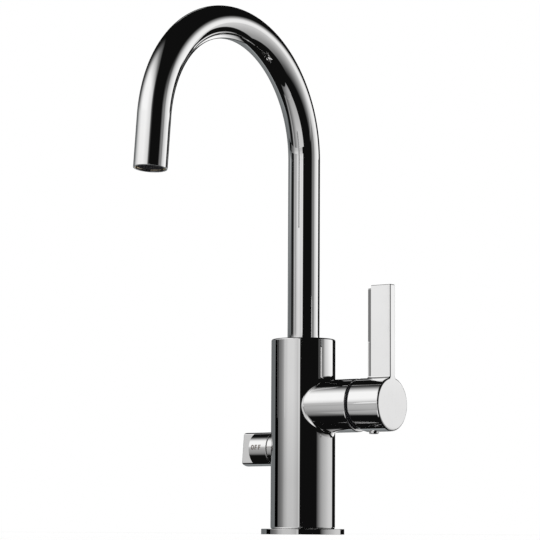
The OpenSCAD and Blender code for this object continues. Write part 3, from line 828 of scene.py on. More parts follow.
@dataclass
class Spout(Assembly):
    """The bent tube and the black aerator ring in its end."""

    line: SpoutLine = field(default_factory=SpoutLine)
    tube_r: float = 12.5
    bore_r: float = 11.3
    foot: float = 140.3
    arch_steps: int = 200
    ring_out: float = 10.26
    ring_in: float = 8.86
    ring_sink: float = 1.3
    ring_l: float = 9.5
    ledge_w: float = 0.8
    ledge_h: float = 1.0

    def build(self) -> None:
        """Makes the tube and the aerator ring."""
        self.tube()
        self.ring()

    def tube(self) -> Object:
        """Returns the tube, its cut end softly rounded."""
        arch = self.line.arch_r * self.line.turn
        bends = [self.line.arch_z + arch * k / self.arch_steps for k in range(self.arch_steps + 1)]
        corners = [(self.bore_r, self.foot), (self.tube_r, self.foot, 0.3, 3)]
        corners += [(self.tube_r, h) for h in bends]
        corners += [(self.tube_r, self.line.end, 0.35, 5), (self.bore_r, self.line.end, 0.35, 5)]
        corners += [(self.bore_r, h) for h in reversed(bends)]
        form = turned(corners, self.line, 160)
        return self.piece("spout_shell", form, Body.SPOUT, CHROME, ["spout_tube"])

    def ring(self) -> Object:
        """Returns the aerator's black housing with the ledge under its insert."""
        face = self.line.end - self.ring_sink
        back = face - self.ring_l
        corners = [
            (self.ring_in - self.ledge_w, back), (self.ring_out, back, 0.3, 3),
            (self.ring_out, face, 0.3, 4), (self.ring_in, face, 0.4, 4), (self.ring_in, back + self.ledge_h),
            (self.ring_in - self.ledge_w, back + self.ledge_h),
        ]
        form = turned(corners, self.line, 96)
        nodes = ["aerator_housing"]
        return self.piece("aerator_ring", form, Body.SPOUT, BLACK_PLASTIC, nodes)


@dataclass
class ArmEnd(Assembly):
    """The cartridge nut's dark neck and the chromed ring that shows behind the handle."""

    dome_r: float = 18.8
    dome_from: float = 55.9
    dome_to: float = 61.5
    pivot_x: float = 55.0
    dome_steps: int = 12
    trim_bore: float = 15.04
    seat_r: float = 16.6
    seat_x: float = 57.5
    nut: Rows = (
        (13.4, 48.6), (17.98, 48.6), (17.98, 53, 0.3, 3), (16.02, 53), (16.02, 55.9), (15.02, 55.9),
        (15.02, 57.5, 0.2, 3), (13.4, 57.5, 0.2, 3),
    )

    def build(self) -> None:
        """Makes the nut and the trim ring."""
        form = turned(self.nut, ARM_AXIS)
        # the neck is made black, which shows as a dark band between the arm's end and the trim ring
        self.piece("nut_neck", form, Body.BODY, BLACK_PLASTIC, ["retaining_nut"])
        bow = []
        for k in range(self.dome_steps + 1):
            x = self.dome_from + (self.dome_to - self.dome_from) * k / self.dome_steps
            bow.append((math.sqrt(self.dome_r**2 - (x - self.pivot_x) ** 2), x))
        ring = [(self.trim_bore, self.dome_from), *bow]
        ring += [(self.seat_r, self.dome_to), (self.seat_r, self.seat_x), (self.trim_bore, self.seat_x)]
        form = self.smooth_bow(turned(ring, ARM_AXIS, 160))
        self.piece("trim_ring", form, Body.BODY, CHROME, ["trim_dome"])

    def smooth_bow(self, form: Form) -> Form:
        """Gives the ring's domed face the normals of its sphere.

        Args:
            form: the turned ring.

        Returns:
            The same form.
        """
        middle = np.array([self.pivot_x, 0, ARM_Z])
        for corners, normals in zip(form.faces, form.normals):
            arms = np.array([form.points[i] for i in corners]) - middle
            if np.all(np.abs(np.linalg.norm(arms, axis=1) - self.dome_r) < 1e-3):
                normals[:] = unit(arms)
        return form


@dataclass(frozen=True)
class BladeOutline:
    """The handle's outline seen along the arm: a round cap with a blade on top and hollow fillets between."""

    cap_r: float = 20.5
    fillet: float = 2.0
    corner: float = 1.0
    round_steps: int = 176
    fillet_steps: int = 6
    corner_steps: int = 5

    def place(self, half: float, top: float, mid: float | None = None) -> tuple[Array, ...]:
        """Works out the outline for one thickness and height of the blade.

        Args:
            half: half the blade's thickness.
            top: height of its top.
            mid: height of an extra point on each side, where wanted.

        Returns:
            Points with x at 0, outward normals, and each point's share: 0 on the cap, 1 on the blade.
        """
        foot_y = half + self.fillet
        foot_z = math.sqrt((self.cap_r + self.fillet) ** 2 - foot_y**2)
        touch = math.atan2(foot_y, foot_z)
        middle = np.array([0, 0, ARM_Z])
        angles = touch + (2 * math.pi - 2 * touch) * np.arange(self.round_steps + 1) / self.round_steps
        radial = np.stack([0 * angles, np.sin(angles), np.cos(angles)], axis=1)
        share = np.arange(1, self.fillet_steps + 1) / self.fillet_steps
        lift = (math.pi / 2 - touch) * (1 - share)
        bend = 0.5 * math.pi * np.arange(self.corner_steps + 1) / self.corner_steps
        hollow, bow = (np.stack([0 * turn, -np.cos(turn), np.sin(turn)], axis=1) for turn in (lift, bend))
        parts = [(middle + (0, -foot_y, foot_z) - self.fillet * hollow, hollow, share)]
        if mid is not None:
            parts.append((np.array([[0, -half, mid]]), np.array([[0, -1.0, 0]]), np.ones(1)))
        bow_mid = np.array([0, -half + self.corner, top - self.corner])
        parts.append((bow_mid + self.corner * bow, bow, np.ones(len(bow))))
        side, outward, blade = (np.concatenate(part) for part in zip(*parts))
        flip = np.array([1, -1, 1])
        points = np.concatenate([middle + self.cap_r * radial, side, side[::-1] * flip])
        normals = np.concatenate([radial, outward, outward[::-1] * flip])
        return points, normals, np.concatenate([0 * angles, blade, blade[::-1]])


@dataclass
class Lever(Assembly):
    """The handle, cap and blade in one, and the plug under it."""

    outline: BladeOutline = field(default_factory=BladeOutline)
    cap_end: float = 83.7
    cap_edge: float = 1.6
    blade_edge: float = 0.8
    edge_steps: int = 8
    blade_x: float = 62.2
    join_x: float = 65.9
    half: float = 3.3
    thin: float = 2.1
    top: float = 190.0
    strip_top: float = 187.7
    strip_edge: float = 0.5
    strip_steps: int = 4
    bridge_steps: int = 12
    cap_x: float = 55.0
    cavity_r: float = 19.1
    cavity_end: float = 79.0
    hub_r: float = 8.5
    hub_x: float = 64.5
    cut_x: float = 56.0
    cut_z: float = 93.0
    cut_low: float = 70.0
    cut_high: float = 125.0
    cut_half: float = 30.0
    cut_angle: float = 18.435
    stem_half: float = 4.02
    stem_from: float = 60.0
    stem_end: float = 78.0
    screw_x: float = 66.5
    screw_hole: tuple[float, float] = (17.7, 22.5)
    plug_r: float = 3.73
    plug_rim: tuple[float, float, float] = (2.4, 2.1, 0.35)
    plug: tuple[float, float] = (17.9, 22.1)

    @property
    def screw_axis(self) -> Axis:
        """The axis of the plug, pointing down from the arm's axis."""
        return Axis((self.screw_x, 0, ARM_Z), (0, 0, -1), (1, 0, 0))

    def build(self) -> None:
        """Makes the handle and the plug."""
        socket = block((self.stem_from, -self.stem_half, ARM_Z - self.stem_half),
                       (self.stem_end, self.stem_half, ARM_Z + self.stem_half))
        hole = rod(self.plug_r + 0.02, *self.screw_hole, self.screw_axis, 64)
        cuts = [turned(self.cavity(), ARM_AXIS, 160, closed=False), socket, hole, self.oblique()]
        self.piece("lever_shell", self.handle(), Body.LEVER, CHROME, ["lever_handle"], cuts=cuts)
        start, end = self.plug
        rim, dip, deep = self.plug_rim
        corners = [(0, start), (self.plug_r, start), (self.plug_r, end, 0.6, 6), (rim, end, 0.2, 3),
                   (dip, end - deep, 0.2, 3), (0, end - deep)]
        form = turned(corners, self.screw_axis, 96, closed=False)
        self.piece("plug_button", form, Body.LEVER, CHROME, ["screw_plug"])

    def cavity(self) -> Rows:
        """Returns the outline of the hollow inside the cap, round its hub."""
        return ((0, self.cap_x - 1), (self.cavity_r, self.cap_x - 1), (self.cavity_r, self.cavity_end),
                (self.hub_r, self.cavity_end), (self.hub_r, self.hub_x), (0, self.hub_x))

    def oblique(self) -> Form:
        """Returns the shape that cuts the cap's edge back: straight above, slanting below."""
        form = Form()
        reach = (self.cut_z - self.cut_low) * math.tan(math.radians(self.cut_angle))
        side = [(self.cap_x - 2, self.cut_high), (self.cut_x, self.cut_high), (self.cut_x, self.cut_z),
                (self.cut_x + reach, self.cut_low), (self.cap_x - 2, self.cut_low)]
        near, far = (form.add([(x, y, z) for x, z in side]) for y in (-self.cut_half, self.cut_half))
        form.face(near, np.array([0, -1.0, 0]))
        form.face(far, np.array([0, 1.0, 0]))
        for i, (x0, z0) in enumerate(side):
            j = (i + 1) % len(side)
            x1, z1 = side[j]
            form.face([near[i], near[j], far[j], far[i]], np.array([z0 - z1, 0, x1 - x0]))
        return form

    def leaned(self, outward: Array, angle: Any) -> Array:
        """Returns normals turned by an angle towards +X."""
        angle = np.broadcast_to(angle, len(outward))[:, None]
        return outward * np.cos(angle) + np.sin(angle) * np.array([1.0, 0, 0])

    def handle(self) -> Form:
        """Returns the solid handle: strip, blade and cap on one outline, before it is hollowed."""
        form = Form()
        reach = self.join_x - self.blade_x
        slope = (self.half - self.thin) / reach
        taper = math.atan(slope)
        strip: list[tuple[Ring, Array]] = []
        for k in range(self.strip_steps + 2):
            phi = taper + (math.pi / 2 - taper) * (1 - min(k, self.strip_steps) / self.strip_steps)
            back = self.strip_edge * (1 - math.sin(phi)) if k <= self.strip_steps else reach
            sunk = self.strip_edge * (1 - math.cos(phi)) if k < self.strip_steps else 0.0
            points, outward, share = self.outline.place(self.thin + slope * back, self.strip_top)
            points -= sunk * share[:, None] * outward
            points[:, 0] = self.blade_x + back
            strip.append((form.add(points), self.leaned(outward, -phi * share)))
        form.skin(strip)
        arc = self.outline.round_steps + 1
        left, bend = arc + self.outline.fillet_steps, self.outline.corner_steps + 1
        joint = strip[-1][0]
        mid = self.strip_top - self.outline.corner
        rows: list[tuple[Ring, Array]] = []
        for k in range(-1, self.edge_steps + 1):
            phi = 0.5 * math.pi * max(k, 0) / self.edge_steps
            points, outward, share = self.outline.place(self.half, self.top, mid)
            edge = self.cap_edge - (self.cap_edge - self.blade_edge) * share
            points -= edge[:, None] * (1 - math.cos(phi)) * outward
            points[:, 0] = self.cap_end - edge * (1 - math.sin(phi)) if k >= 0 else self.join_x
            if k < 0:
                fresh = form.add(points[left + 1:left + 1 + 2 * bend])
                numbers = np.concatenate([joint[:left + 1], fresh, joint[left + 2 * bend - 1:]])
            else:
                numbers = form.add(points)
            rows.append((numbers, self.leaned(outward, phi)))
        form.skin(rows)
        form.face(rows[-1][0], np.array([1.0, 0, 0]))
        upper = rows[0][0][left:left + 2 + 2 * bend]
        form.face([*upper, *joint[left + 1:left + 2 * bend - 1][::-1]], np.array([-1.0, 0, 0]))
        self.close_cap(form, strip[0][0], arc)
        return form

    def close_cap(self, form: Form, first: Ring, arc: int) -> None:
        """Adds the strip's end face and the plain cap behind it.

        Args:
            form: the form to add to.
            first: the strip's first ring.
            arc: how many of its points lie on the cap.
        """
        touch = math.asin((self.thin + self.outline.fillet) / (self.outline.cap_r + self.outline.fillet))
        under = -touch + 2 * touch * np.arange(1, self.bridge_steps) / self.bridge_steps
        bridge = form.add(np.stack([0 * under + self.blade_x, self.outline.cap_r * np.sin(under),
                                    ARM_Z + self.outline.cap_r * np.cos(under)], axis=1))
        form.face([*first[arc - 1:], first[0], *bridge[::-1]], np.array([-1.0, 0, 0]))
        circle = np.concatenate([first[:arc], bridge])
        back = np.array([form.points[i] for i in circle])
        outward = unit((back - (0, 0, ARM_Z)) * (0, 1, 1))
        back[:, 0] = self.cap_x
        rear = form.add(back)
        form.strip(circle, rear, outward, outward)
        form.face(rear, np.array([-1.0, 0, 0]))


@dataclass
class ShutOff(Assembly):
    """The bezel ring with its index line, and the knob with its flat tongue and word."""

    tilt: float = 5.5
    knob_r: float = 13.25
    bezel_from: float = 20.0
    bezel_end: float = 25.8
    bezel_bore: float = 10.85
    bezel_edge: float = 0.3
    body_r: float = 25.0
    body_part: tuple[float, float] = (40.0, 95.0)
    line_w: float = 0.4
    line_d: float = 0.25
    line_end: float = 21.4
    groove: tuple[float, float] = (15.0, 30.0)
    knob_from: float = 26.6
    knob_shoulder: float = 43.0
    knob_end: float = 54.2
    knob_edge: float = 0.7
    tongue_half: float = 6.2
    tongue_corner: float = 1.1
    bore_r: float = 3.9
    bore_end: float = 38.2
    arc_steps: int = 48
    corner_steps: int = 6
    edge_steps: int = 6
    word_from: float = 40.7
    word_h: float = 3.9
    word_lift: float = 0.035
    word_thick: float = 0.08
    stroke: float = 0.82
    letter_w: float = 2.7
    letter_gap: float = 0.75
    bow_steps: int = 36
    bow_power: float = 0.8

    @property
    def front(self) -> Array:
        """The direction that the tongue's front face and the index line look in."""
        angle = math.radians(self.tilt)
        return np.array([0.0, -math.cos(angle), math.sin(angle)])

    @property
    def up(self) -> Array:
        """The direction along the tongue's faces, upwards."""
        angle = math.radians(self.tilt)
        return np.array([0.0, math.sin(angle), math.cos(angle)])

    @property
    def spin(self) -> Matrix:
        """The turn and place of the index line."""
        return Matrix.Translation((0, 0, VALVE_Z)) @ Matrix.Rotation(math.radians(-self.tilt), 4, "X")

    def build(self) -> None:
        """Makes the bezel ring, the index line, the knob and the word."""
        self.bezel()
        self.index_line()
        self.piece("knob_shell", self.knob(), Body.KNOB, CHROME, ["shutoff_knob"])
        self.word()

    def bezel(self) -> Object:
        """Returns the ring that stands out of the body's side, with the groove of its index line."""
        corners = ((self.bezel_bore, self.bezel_from), (self.knob_r, self.bezel_from),
                   (self.knob_r, self.bezel_end, self.bezel_edge), (self.bezel_bore, self.bezel_end))
        near, far = self.groove
        groove = block((-far, -self.knob_r - 1, -self.line_w / 2),
                       (-near, -self.knob_r + self.line_d, self.line_w / 2), self.spin)
        cuts = [rod(self.body_r, *self.body_part, Axis(), 256), groove]
        form = turned(corners, Axis((0, 0, VALVE_Z), (-1, 0, 0), tuple(self.front)), 160)
        return self.piece("bezel_shell", form, Body.BODY, CHROME, ["bezel_ring"], cuts=cuts)

    def index_line(self) -> Object:
        """Returns the paint in the index line's groove."""
        low = (-self.bezel_end + 0.03, -self.knob_r + 0.08, -self.line_w / 2 + 0.01)
        high = (-self.line_end, -self.knob_r + self.line_d + 0.03, self.line_w / 2 - 0.01)
        return self.piece("index_line", block(low, high, self.spin), Body.BODY, ENGRAVING)

    def spot(self, across: float, upward: float, out: float) -> Array:
        """Returns the point at a place across and up the valve's section, and out along its axis."""
        return np.array([-out, 0, VALVE_Z]) + across * self.front + upward * self.up

    def tongue_ring(self, sunk: float) -> tuple[Array, Array]:
        """Works out the tongue's outline: two flats, two round sides and four rounded corners.

        Args:
            sunk: how far inside the full outline.

        Returns:
            Places and normals across and up the section.
        """
        mid_a = self.tongue_half - self.tongue_corner
        mid_b = math.sqrt((self.knob_r - self.tongue_corner) ** 2 - mid_a**2)
        start = math.atan2(mid_b, mid_a)
        arc = np.linspace(start, math.pi - start, self.arc_steps + 1)
        small = self.tongue_corner - sunk
        bend = start * np.arange(1, self.corner_steps + 1) / self.corner_steps
        first, second = math.pi - start + bend, math.pi + np.append(0, bend[:-1])
        places, normals = [], []
        for flip, base in ((1, 0.0), (-1, math.pi)):
            for angles, mid, radius in ((arc, (0, 0), self.knob_r - sunk), (first, (-mid_a, mid_b), small),
                                        (second, (-mid_a, -mid_b), small)):
                out = np.stack([np.cos(angles + base), np.sin(angles + base)], axis=1)
                places.append(flip * np.array(mid) + radius * out)
                normals.append(out)
        return np.concatenate(places), np.concatenate(normals)

    def knob(self) -> Form:
        """Returns the knob: a round part, and a tongue with flat front and back."""
        form = Form()
        lift = np.stack([self.front, self.up])
        outward = np.array([-1.0, 0, 0])
        rows: list[tuple[Ring, Array]] = []
        for k in range(-1, self.edge_steps + 1):
            phi = 0.5 * math.pi * max(k, 0) / self.edge_steps
            section, facing = self.tongue_ring(self.knob_edge * (1 - math.cos(phi)))
            out = self.knob_end - self.knob_edge * (1 - math.sin(phi)) if k >= 0 else self.knob_shoulder
            points = np.array([self.spot(a, b, out) for a, b in section])
            rows.append((form.add(points), (facing @ lift) * math.cos(phi) + outward * math.sin(phi)))
        form.skin(rows)
        form.face(rows[-1][0], outward)
        self.round_part(form, rows[0][0], self.tongue_ring(0.0)[0])
        return form

    def round_part(self, form: Form, tongue: Ring, places: Array) -> None:
        """Adds the knob's round part under the tongue.

        Args:
            form: the form to add to.
            tongue: the tongue's ring at the shoulder.
            places: its places across and up the section.
        """
        outward = np.array([-1.0, 0, 0])
        arc = self.arc_steps + 1
        span = arc + 2 * self.corner_steps
        circle: list[int] = []
        for begin in (0, span):
            end = (begin + span) % len(tongue)
            here = tongue[begin:begin + span]
            start, finish = (math.atan2(*places[i][::-1]) for i in (begin + arc - 1, end))
            sweep = math.remainder(finish - start, 2 * math.pi) % (2 * math.pi)
            angles = start + sweep * np.arange(1, self.arc_steps) / self.arc_steps
            points = [self.spot(self.knob_r * math.cos(t), self.knob_r * math.sin(t), self.knob_shoulder)
                      for t in angles]
            segment = form.add(np.array(points))
            form.face([*here[arc - 1:], tongue[end], *segment[::-1]], outward)
            circle.extend([*here[:arc], *segment])
        before = np.array(circle)
        radial = unit(np.array([form.points[i] for i in circle]) - self.spot(0, 0, self.knob_shoulder))
        marks = outline_marks((
            (self.knob_r, self.knob_shoulder), (self.knob_r, self.knob_from, 0.3),
            (self.bore_r, self.knob_from, 0.2, 3), (self.bore_r, self.bore_end), (0, self.bore_end),
        ), closed=False)
        for (_, _, leave), ((r, h), come, _) in zip(marks, marks[1:]):
            after = form.add(self.spot(0, 0, h) + (r * radial if r > 1e-6 else 0))
            given = [-math.sin(angle) * radial + math.cos(angle) * outward for angle in (leave, come)]
            form.strip(before, after, *given)
            before = after

    def patch(self, form: Form, corners: Sequence[tuple[float, float]], start: float) -> None:
        """Adds one thin raised patch of a letter, wrapped on the knob.

        Args:
            form: the form to add to.
            corners: place along the letter and height of each corner.
            start: how far from the body the letter starts.
        """
        tops, normals = [], []
        for along, height in corners:
            angle = height / self.knob_r
            normals.append(math.cos(angle) * self.front + math.sin(angle) * self.up)
            tops.append(self.spot(0, 0, start - along) + (self.knob_r + self.word_lift) * normals[-1])
        top = form.add(np.array(tops))
        low = form.add(np.array(tops) - self.word_thick * np.array(normals))
        middle, facing = np.mean(tops, axis=0), np.mean(normals, axis=0)
        form.face(top, facing)
        form.face(low, -facing)
        for i in range(len(corners)):
            j = (i + 1) % len(corners)
            form.face([top[i], top[j], low[j], low[i]], 0.5 * (tops[i] + tops[j]) - middle)

    def word(self) -> Object:
        """Returns the word OFF on the knob's front, as its dark filling."""
        form = Form()
        w, s, half = self.letter_w, self.stroke, self.word_h / 2
        turns = 2 * math.pi * np.arange(self.bow_steps + 1) / self.bow_steps
        bow = np.stack([np.cos(turns), np.sin(turns)], axis=1)
        bow = np.sign(bow) * np.abs(bow) ** self.bow_power
        outer, inner = ((w / 2, 0) + bow * (w / 2 - cut, half - cut) for cut in (0, s))
        for k in range(self.bow_steps):
            self.patch(form, [outer[k], outer[k + 1], inner[k + 1], inner[k]], self.word_from)
        strokes = ((0, -half, s, half), (s, half - s, w * 0.85, half),
                   (s, -s / 2 + 0.1, w * 0.75, s / 2 + 0.1))
        for letter in (1, 2):
            start = self.word_from - letter * (w + self.letter_gap)
            for left, low, right, high in strokes:
                levels = np.linspace(low, high, 2 + int(6 * (high - low) / self.word_h))
                for a, b in zip(levels, levels[1:]):
                    self.patch(form, [(left, a), (right, a), (right, b), (left, b)], start)
        return self.piece("off_word", form, Body.KNOB, ENGRAVING)


@dataclass
class Insides:
    """The nodes that keep their own shapes: seals, discs, bushes, screws and turned brass."""

    effects: Effects
    nodes: dict[str, Object]
    kept: tuple[tuple[Finish, str], ...] = (
        (RUBBER, "base_gasket cartridge_seals aerator_gasket spout_o_rings valve_seal valve_o_ring"),
        (WHITE_PLASTIC, "thrust_washer cartridge_base cartridge_housing disc_carrier stem_rotor"),
        (BLACK_PLASTIC, "spout_bush aerator_insert"),
        (CERAMIC, "fixed_disc moving_disc valve_fixed_disc valve_moving_disc"),
        (STEEL, "spout_stop_screw stem_pin lever_stem set_screw"),
        (BRASS, "spout_nipple outlet_sleeve valve_headwork valve_spindle"),
    )

    def dress(self) -> None:
        """Gives every kept node its finish."""
        for finish, names in self.kept:
            for name in names.split():
                for slot in self.nodes[name].material_slots:
                    slot.material = finish.material(self.effects)
                log.info("%s: kept, %s", name, finish.name)


Stops = tuple[tuple[float, float], ...]


@dataclass(frozen=True)
class Card:
    """A curved light card that only mirrors see: where it stands and how its tone changes."""

    name: str
    across: Stops
    upward: Stops
    side: float = 0.0
    bow_low: float = 0.0
    bow_high: float = 0.0
    solid: bool = False
    tint: tuple[float, float, float] = (1.0, 1.0, 1.0)
    distance: float = 20.0


CARDS = (
    Card("key_card", ((-112, 0.58), (-105, 0.72), (-95, 0.93), (-85, 1), (-55, 1), (-45, 0.92), (-35, 0.82),
         (-23, 0.72), (-18.5, 0.4), (-15, 0.08), (-10, 0.03), (-6, 0)), ((9.6, 0.7), (12, 0.76), (16, 0.9),
         (22, 1), (42, 1), (50, 0.72), (60, 0.22), (68, 0)), side=-75, bow_high=1),
    Card("key_side_card", ((-150, 0), (-135, 0.06), (-125, 0.22), (-115, 0.5), (-112, 0.58)), ((6, 0),
         (12, 0.72), (16, 0.9), (22, 1), (42, 1), (50, 0.72), (60, 0.22), (68, 0)), side=-75, bow_high=1),
    Card("strip_card", ((-102, 0), (-100, 0.17), (-93, 0.23), (-83, 0.35), (-78, 0.47), (-74.5, 0.58),
         (-72.5, 0.7), (-69, 0.76), (-64, 0.86), (-56, 0.99), (-37, 1), (-28, 0.9), (-19, 0.78), (-17, 1),
         (-13.5, 1), (-12, 0)), ((-1, 0.57), (1, 0.57), (3.3, 0.71), (4.8, 0.72))),
    Card("riser_card", ((-88, 0), (-85, 0.05), (-81, 0.12), (-77.5, 0.26), (-75.3, 0.5), (-74, 0.6),
         (-70.6, 0.68), (-68.8, 0.42), (-62, 0.46), (-57, 0.65), (-51, 0.87), (-44, 0.97), (-36, 1),
         (-26, 0.93), (-19, 0.85), (-15, 1), (-9.5, 1), (-7.5, 0)), ((4.8, 0.73), (6, 0.76), (7.5, 0.82),
         (9.6, 0.83))),
    Card("blade_card", ((-71.05, 0.87), (-70.05, 0.87)), ((2.6, 0.94), (5.8, 1), (7, 1)),
         solid=True, distance=19.0),
    Card("tongue_card", ((-75.8, 0.62), (-73.6, 0.62)), ((9.6, 0.94), (11.8, 1)),
         solid=True, distance=19.0),
    Card("front_card", ((-83, 0), (-81.5, 0.06), (-80, 0.2), (-79, 0.3), (-77, 0.45), (-74, 0.56),
         (-72, 0.74), (-70.3, 0.8), (-69.3, 0.34), (-67, 0.24), (-60, 0.36), (-50, 0.64), (-44, 0.8),
         (-38, 0.96), (-30, 1), (-2.5, 1), (-0.5, 0)), ((-50.6, 0), (-50.3, 0.4), (-41, 0.45), (-32, 0.48),
         (-22, 0.54), (-16, 0.59), (-1, 0.62))),
    Card("low_card", ((-71, 0), (-69, 0.3), (-60, 0.42), (-49, 0.6), (-37, 0.8), (-26, 0.96), (-16, 1),
         (-2, 1), (0, 0)), ((-54.3, 0), (-52.5, 0.27), (-45, 0.37), (-36, 0.41), (-32.8, 0.41), (-32.6, 0)),
         distance=0.35),
    Card("rear_card", ((-183, 0), (-181, 1), (-110, 1), (-98, 0)), ((-42, 0), (-41, 0.42), (-37, 0.3),
         (-32, 0.21), (-20, 0.22), (0, 0.16), (4.6, 0.16), (5, 0.23), (7, 0.2), (9.5, 0.12), (16, 0.1),
         (18, 0)), side=-165, bow_low=1, tint=(0.92, 0.98, 1.0), distance=20.4),
    Card("rear_flag", ((-121, 0), (-102, 0)), ((-1, 0), (4.8, 0)), solid=True, distance=19.5),
    Card("right_flag", ((124, 0), (131, 0)), ((4.8, 0), (9.6, 0)), solid=True, distance=19.5),
    Card("bevel_card", ((-107.5, 0.2), (-106, 0.2)), ((2.6, 0.9), (7, 1)), solid=True, distance=19.0),
    Card("back_card", ((136, 0), (139, 1), (172, 1), (176, 0)), ((-40, 0), (-38, 0.2), (-32, 0.5),
         (-24, 0.65), (-18, 0.85), (-12, 1), (-1.5, 1), (-1, 0)), side=175, bow_low=1, distance=19.8),
    Card("right_low_card", ((50, 0), (55, 0.1), (65, 0.3), (75, 0.52), (85, 0.72), (95, 0.9), (105, 1),
         (116, 1), (118, 0)), ((-45, 0), (-43.5, 0.28), (-32, 0.35), (-16, 0.5), (-4, 0.62), (-1, 0.65))),
    Card("right_card", ((48, 0), (51, 0.1), (59, 0.31), (68, 0.54), (76, 0.66), (86, 0.76), (102, 0.94),
         (114, 1), (127, 1), (129, 0)), ((-1, 0.65), (2.3, 0.69))),
    Card("right_strip_card", ((54, 0), (57, 0.08), (63, 0.18), (68, 0.27), (71, 0.2), (76, 0.22),
         (80, 0.45), (86, 0.66), (96, 0.78), (107, 0.93), (120, 1), (128, 1), (130.5, 0)), ((2.3, 0.88),
         (3.3, 0.89), (4.6, 1), (14, 1), (18, 0.85), (24, 0.38), (31, 0.04), (34, 0)), side=88, bow_high=1),
    Card("top_card", ((-178, 0), (-175, 1), (-163, 1), (-160, 0)), ((33, 0), (35, 0.5), (37, 0.5),
         (39, 0))),
)


def swung(first: Vector, second: Vector, degrees: float) -> tuple[Vector, Vector]:
    """Returns two directions at right angles, both turned by an angle from the first to the second."""
    turn = math.radians(degrees)
    return math.cos(turn) * first + math.sin(turn) * second, math.cos(turn) * second - math.sin(turn) * first


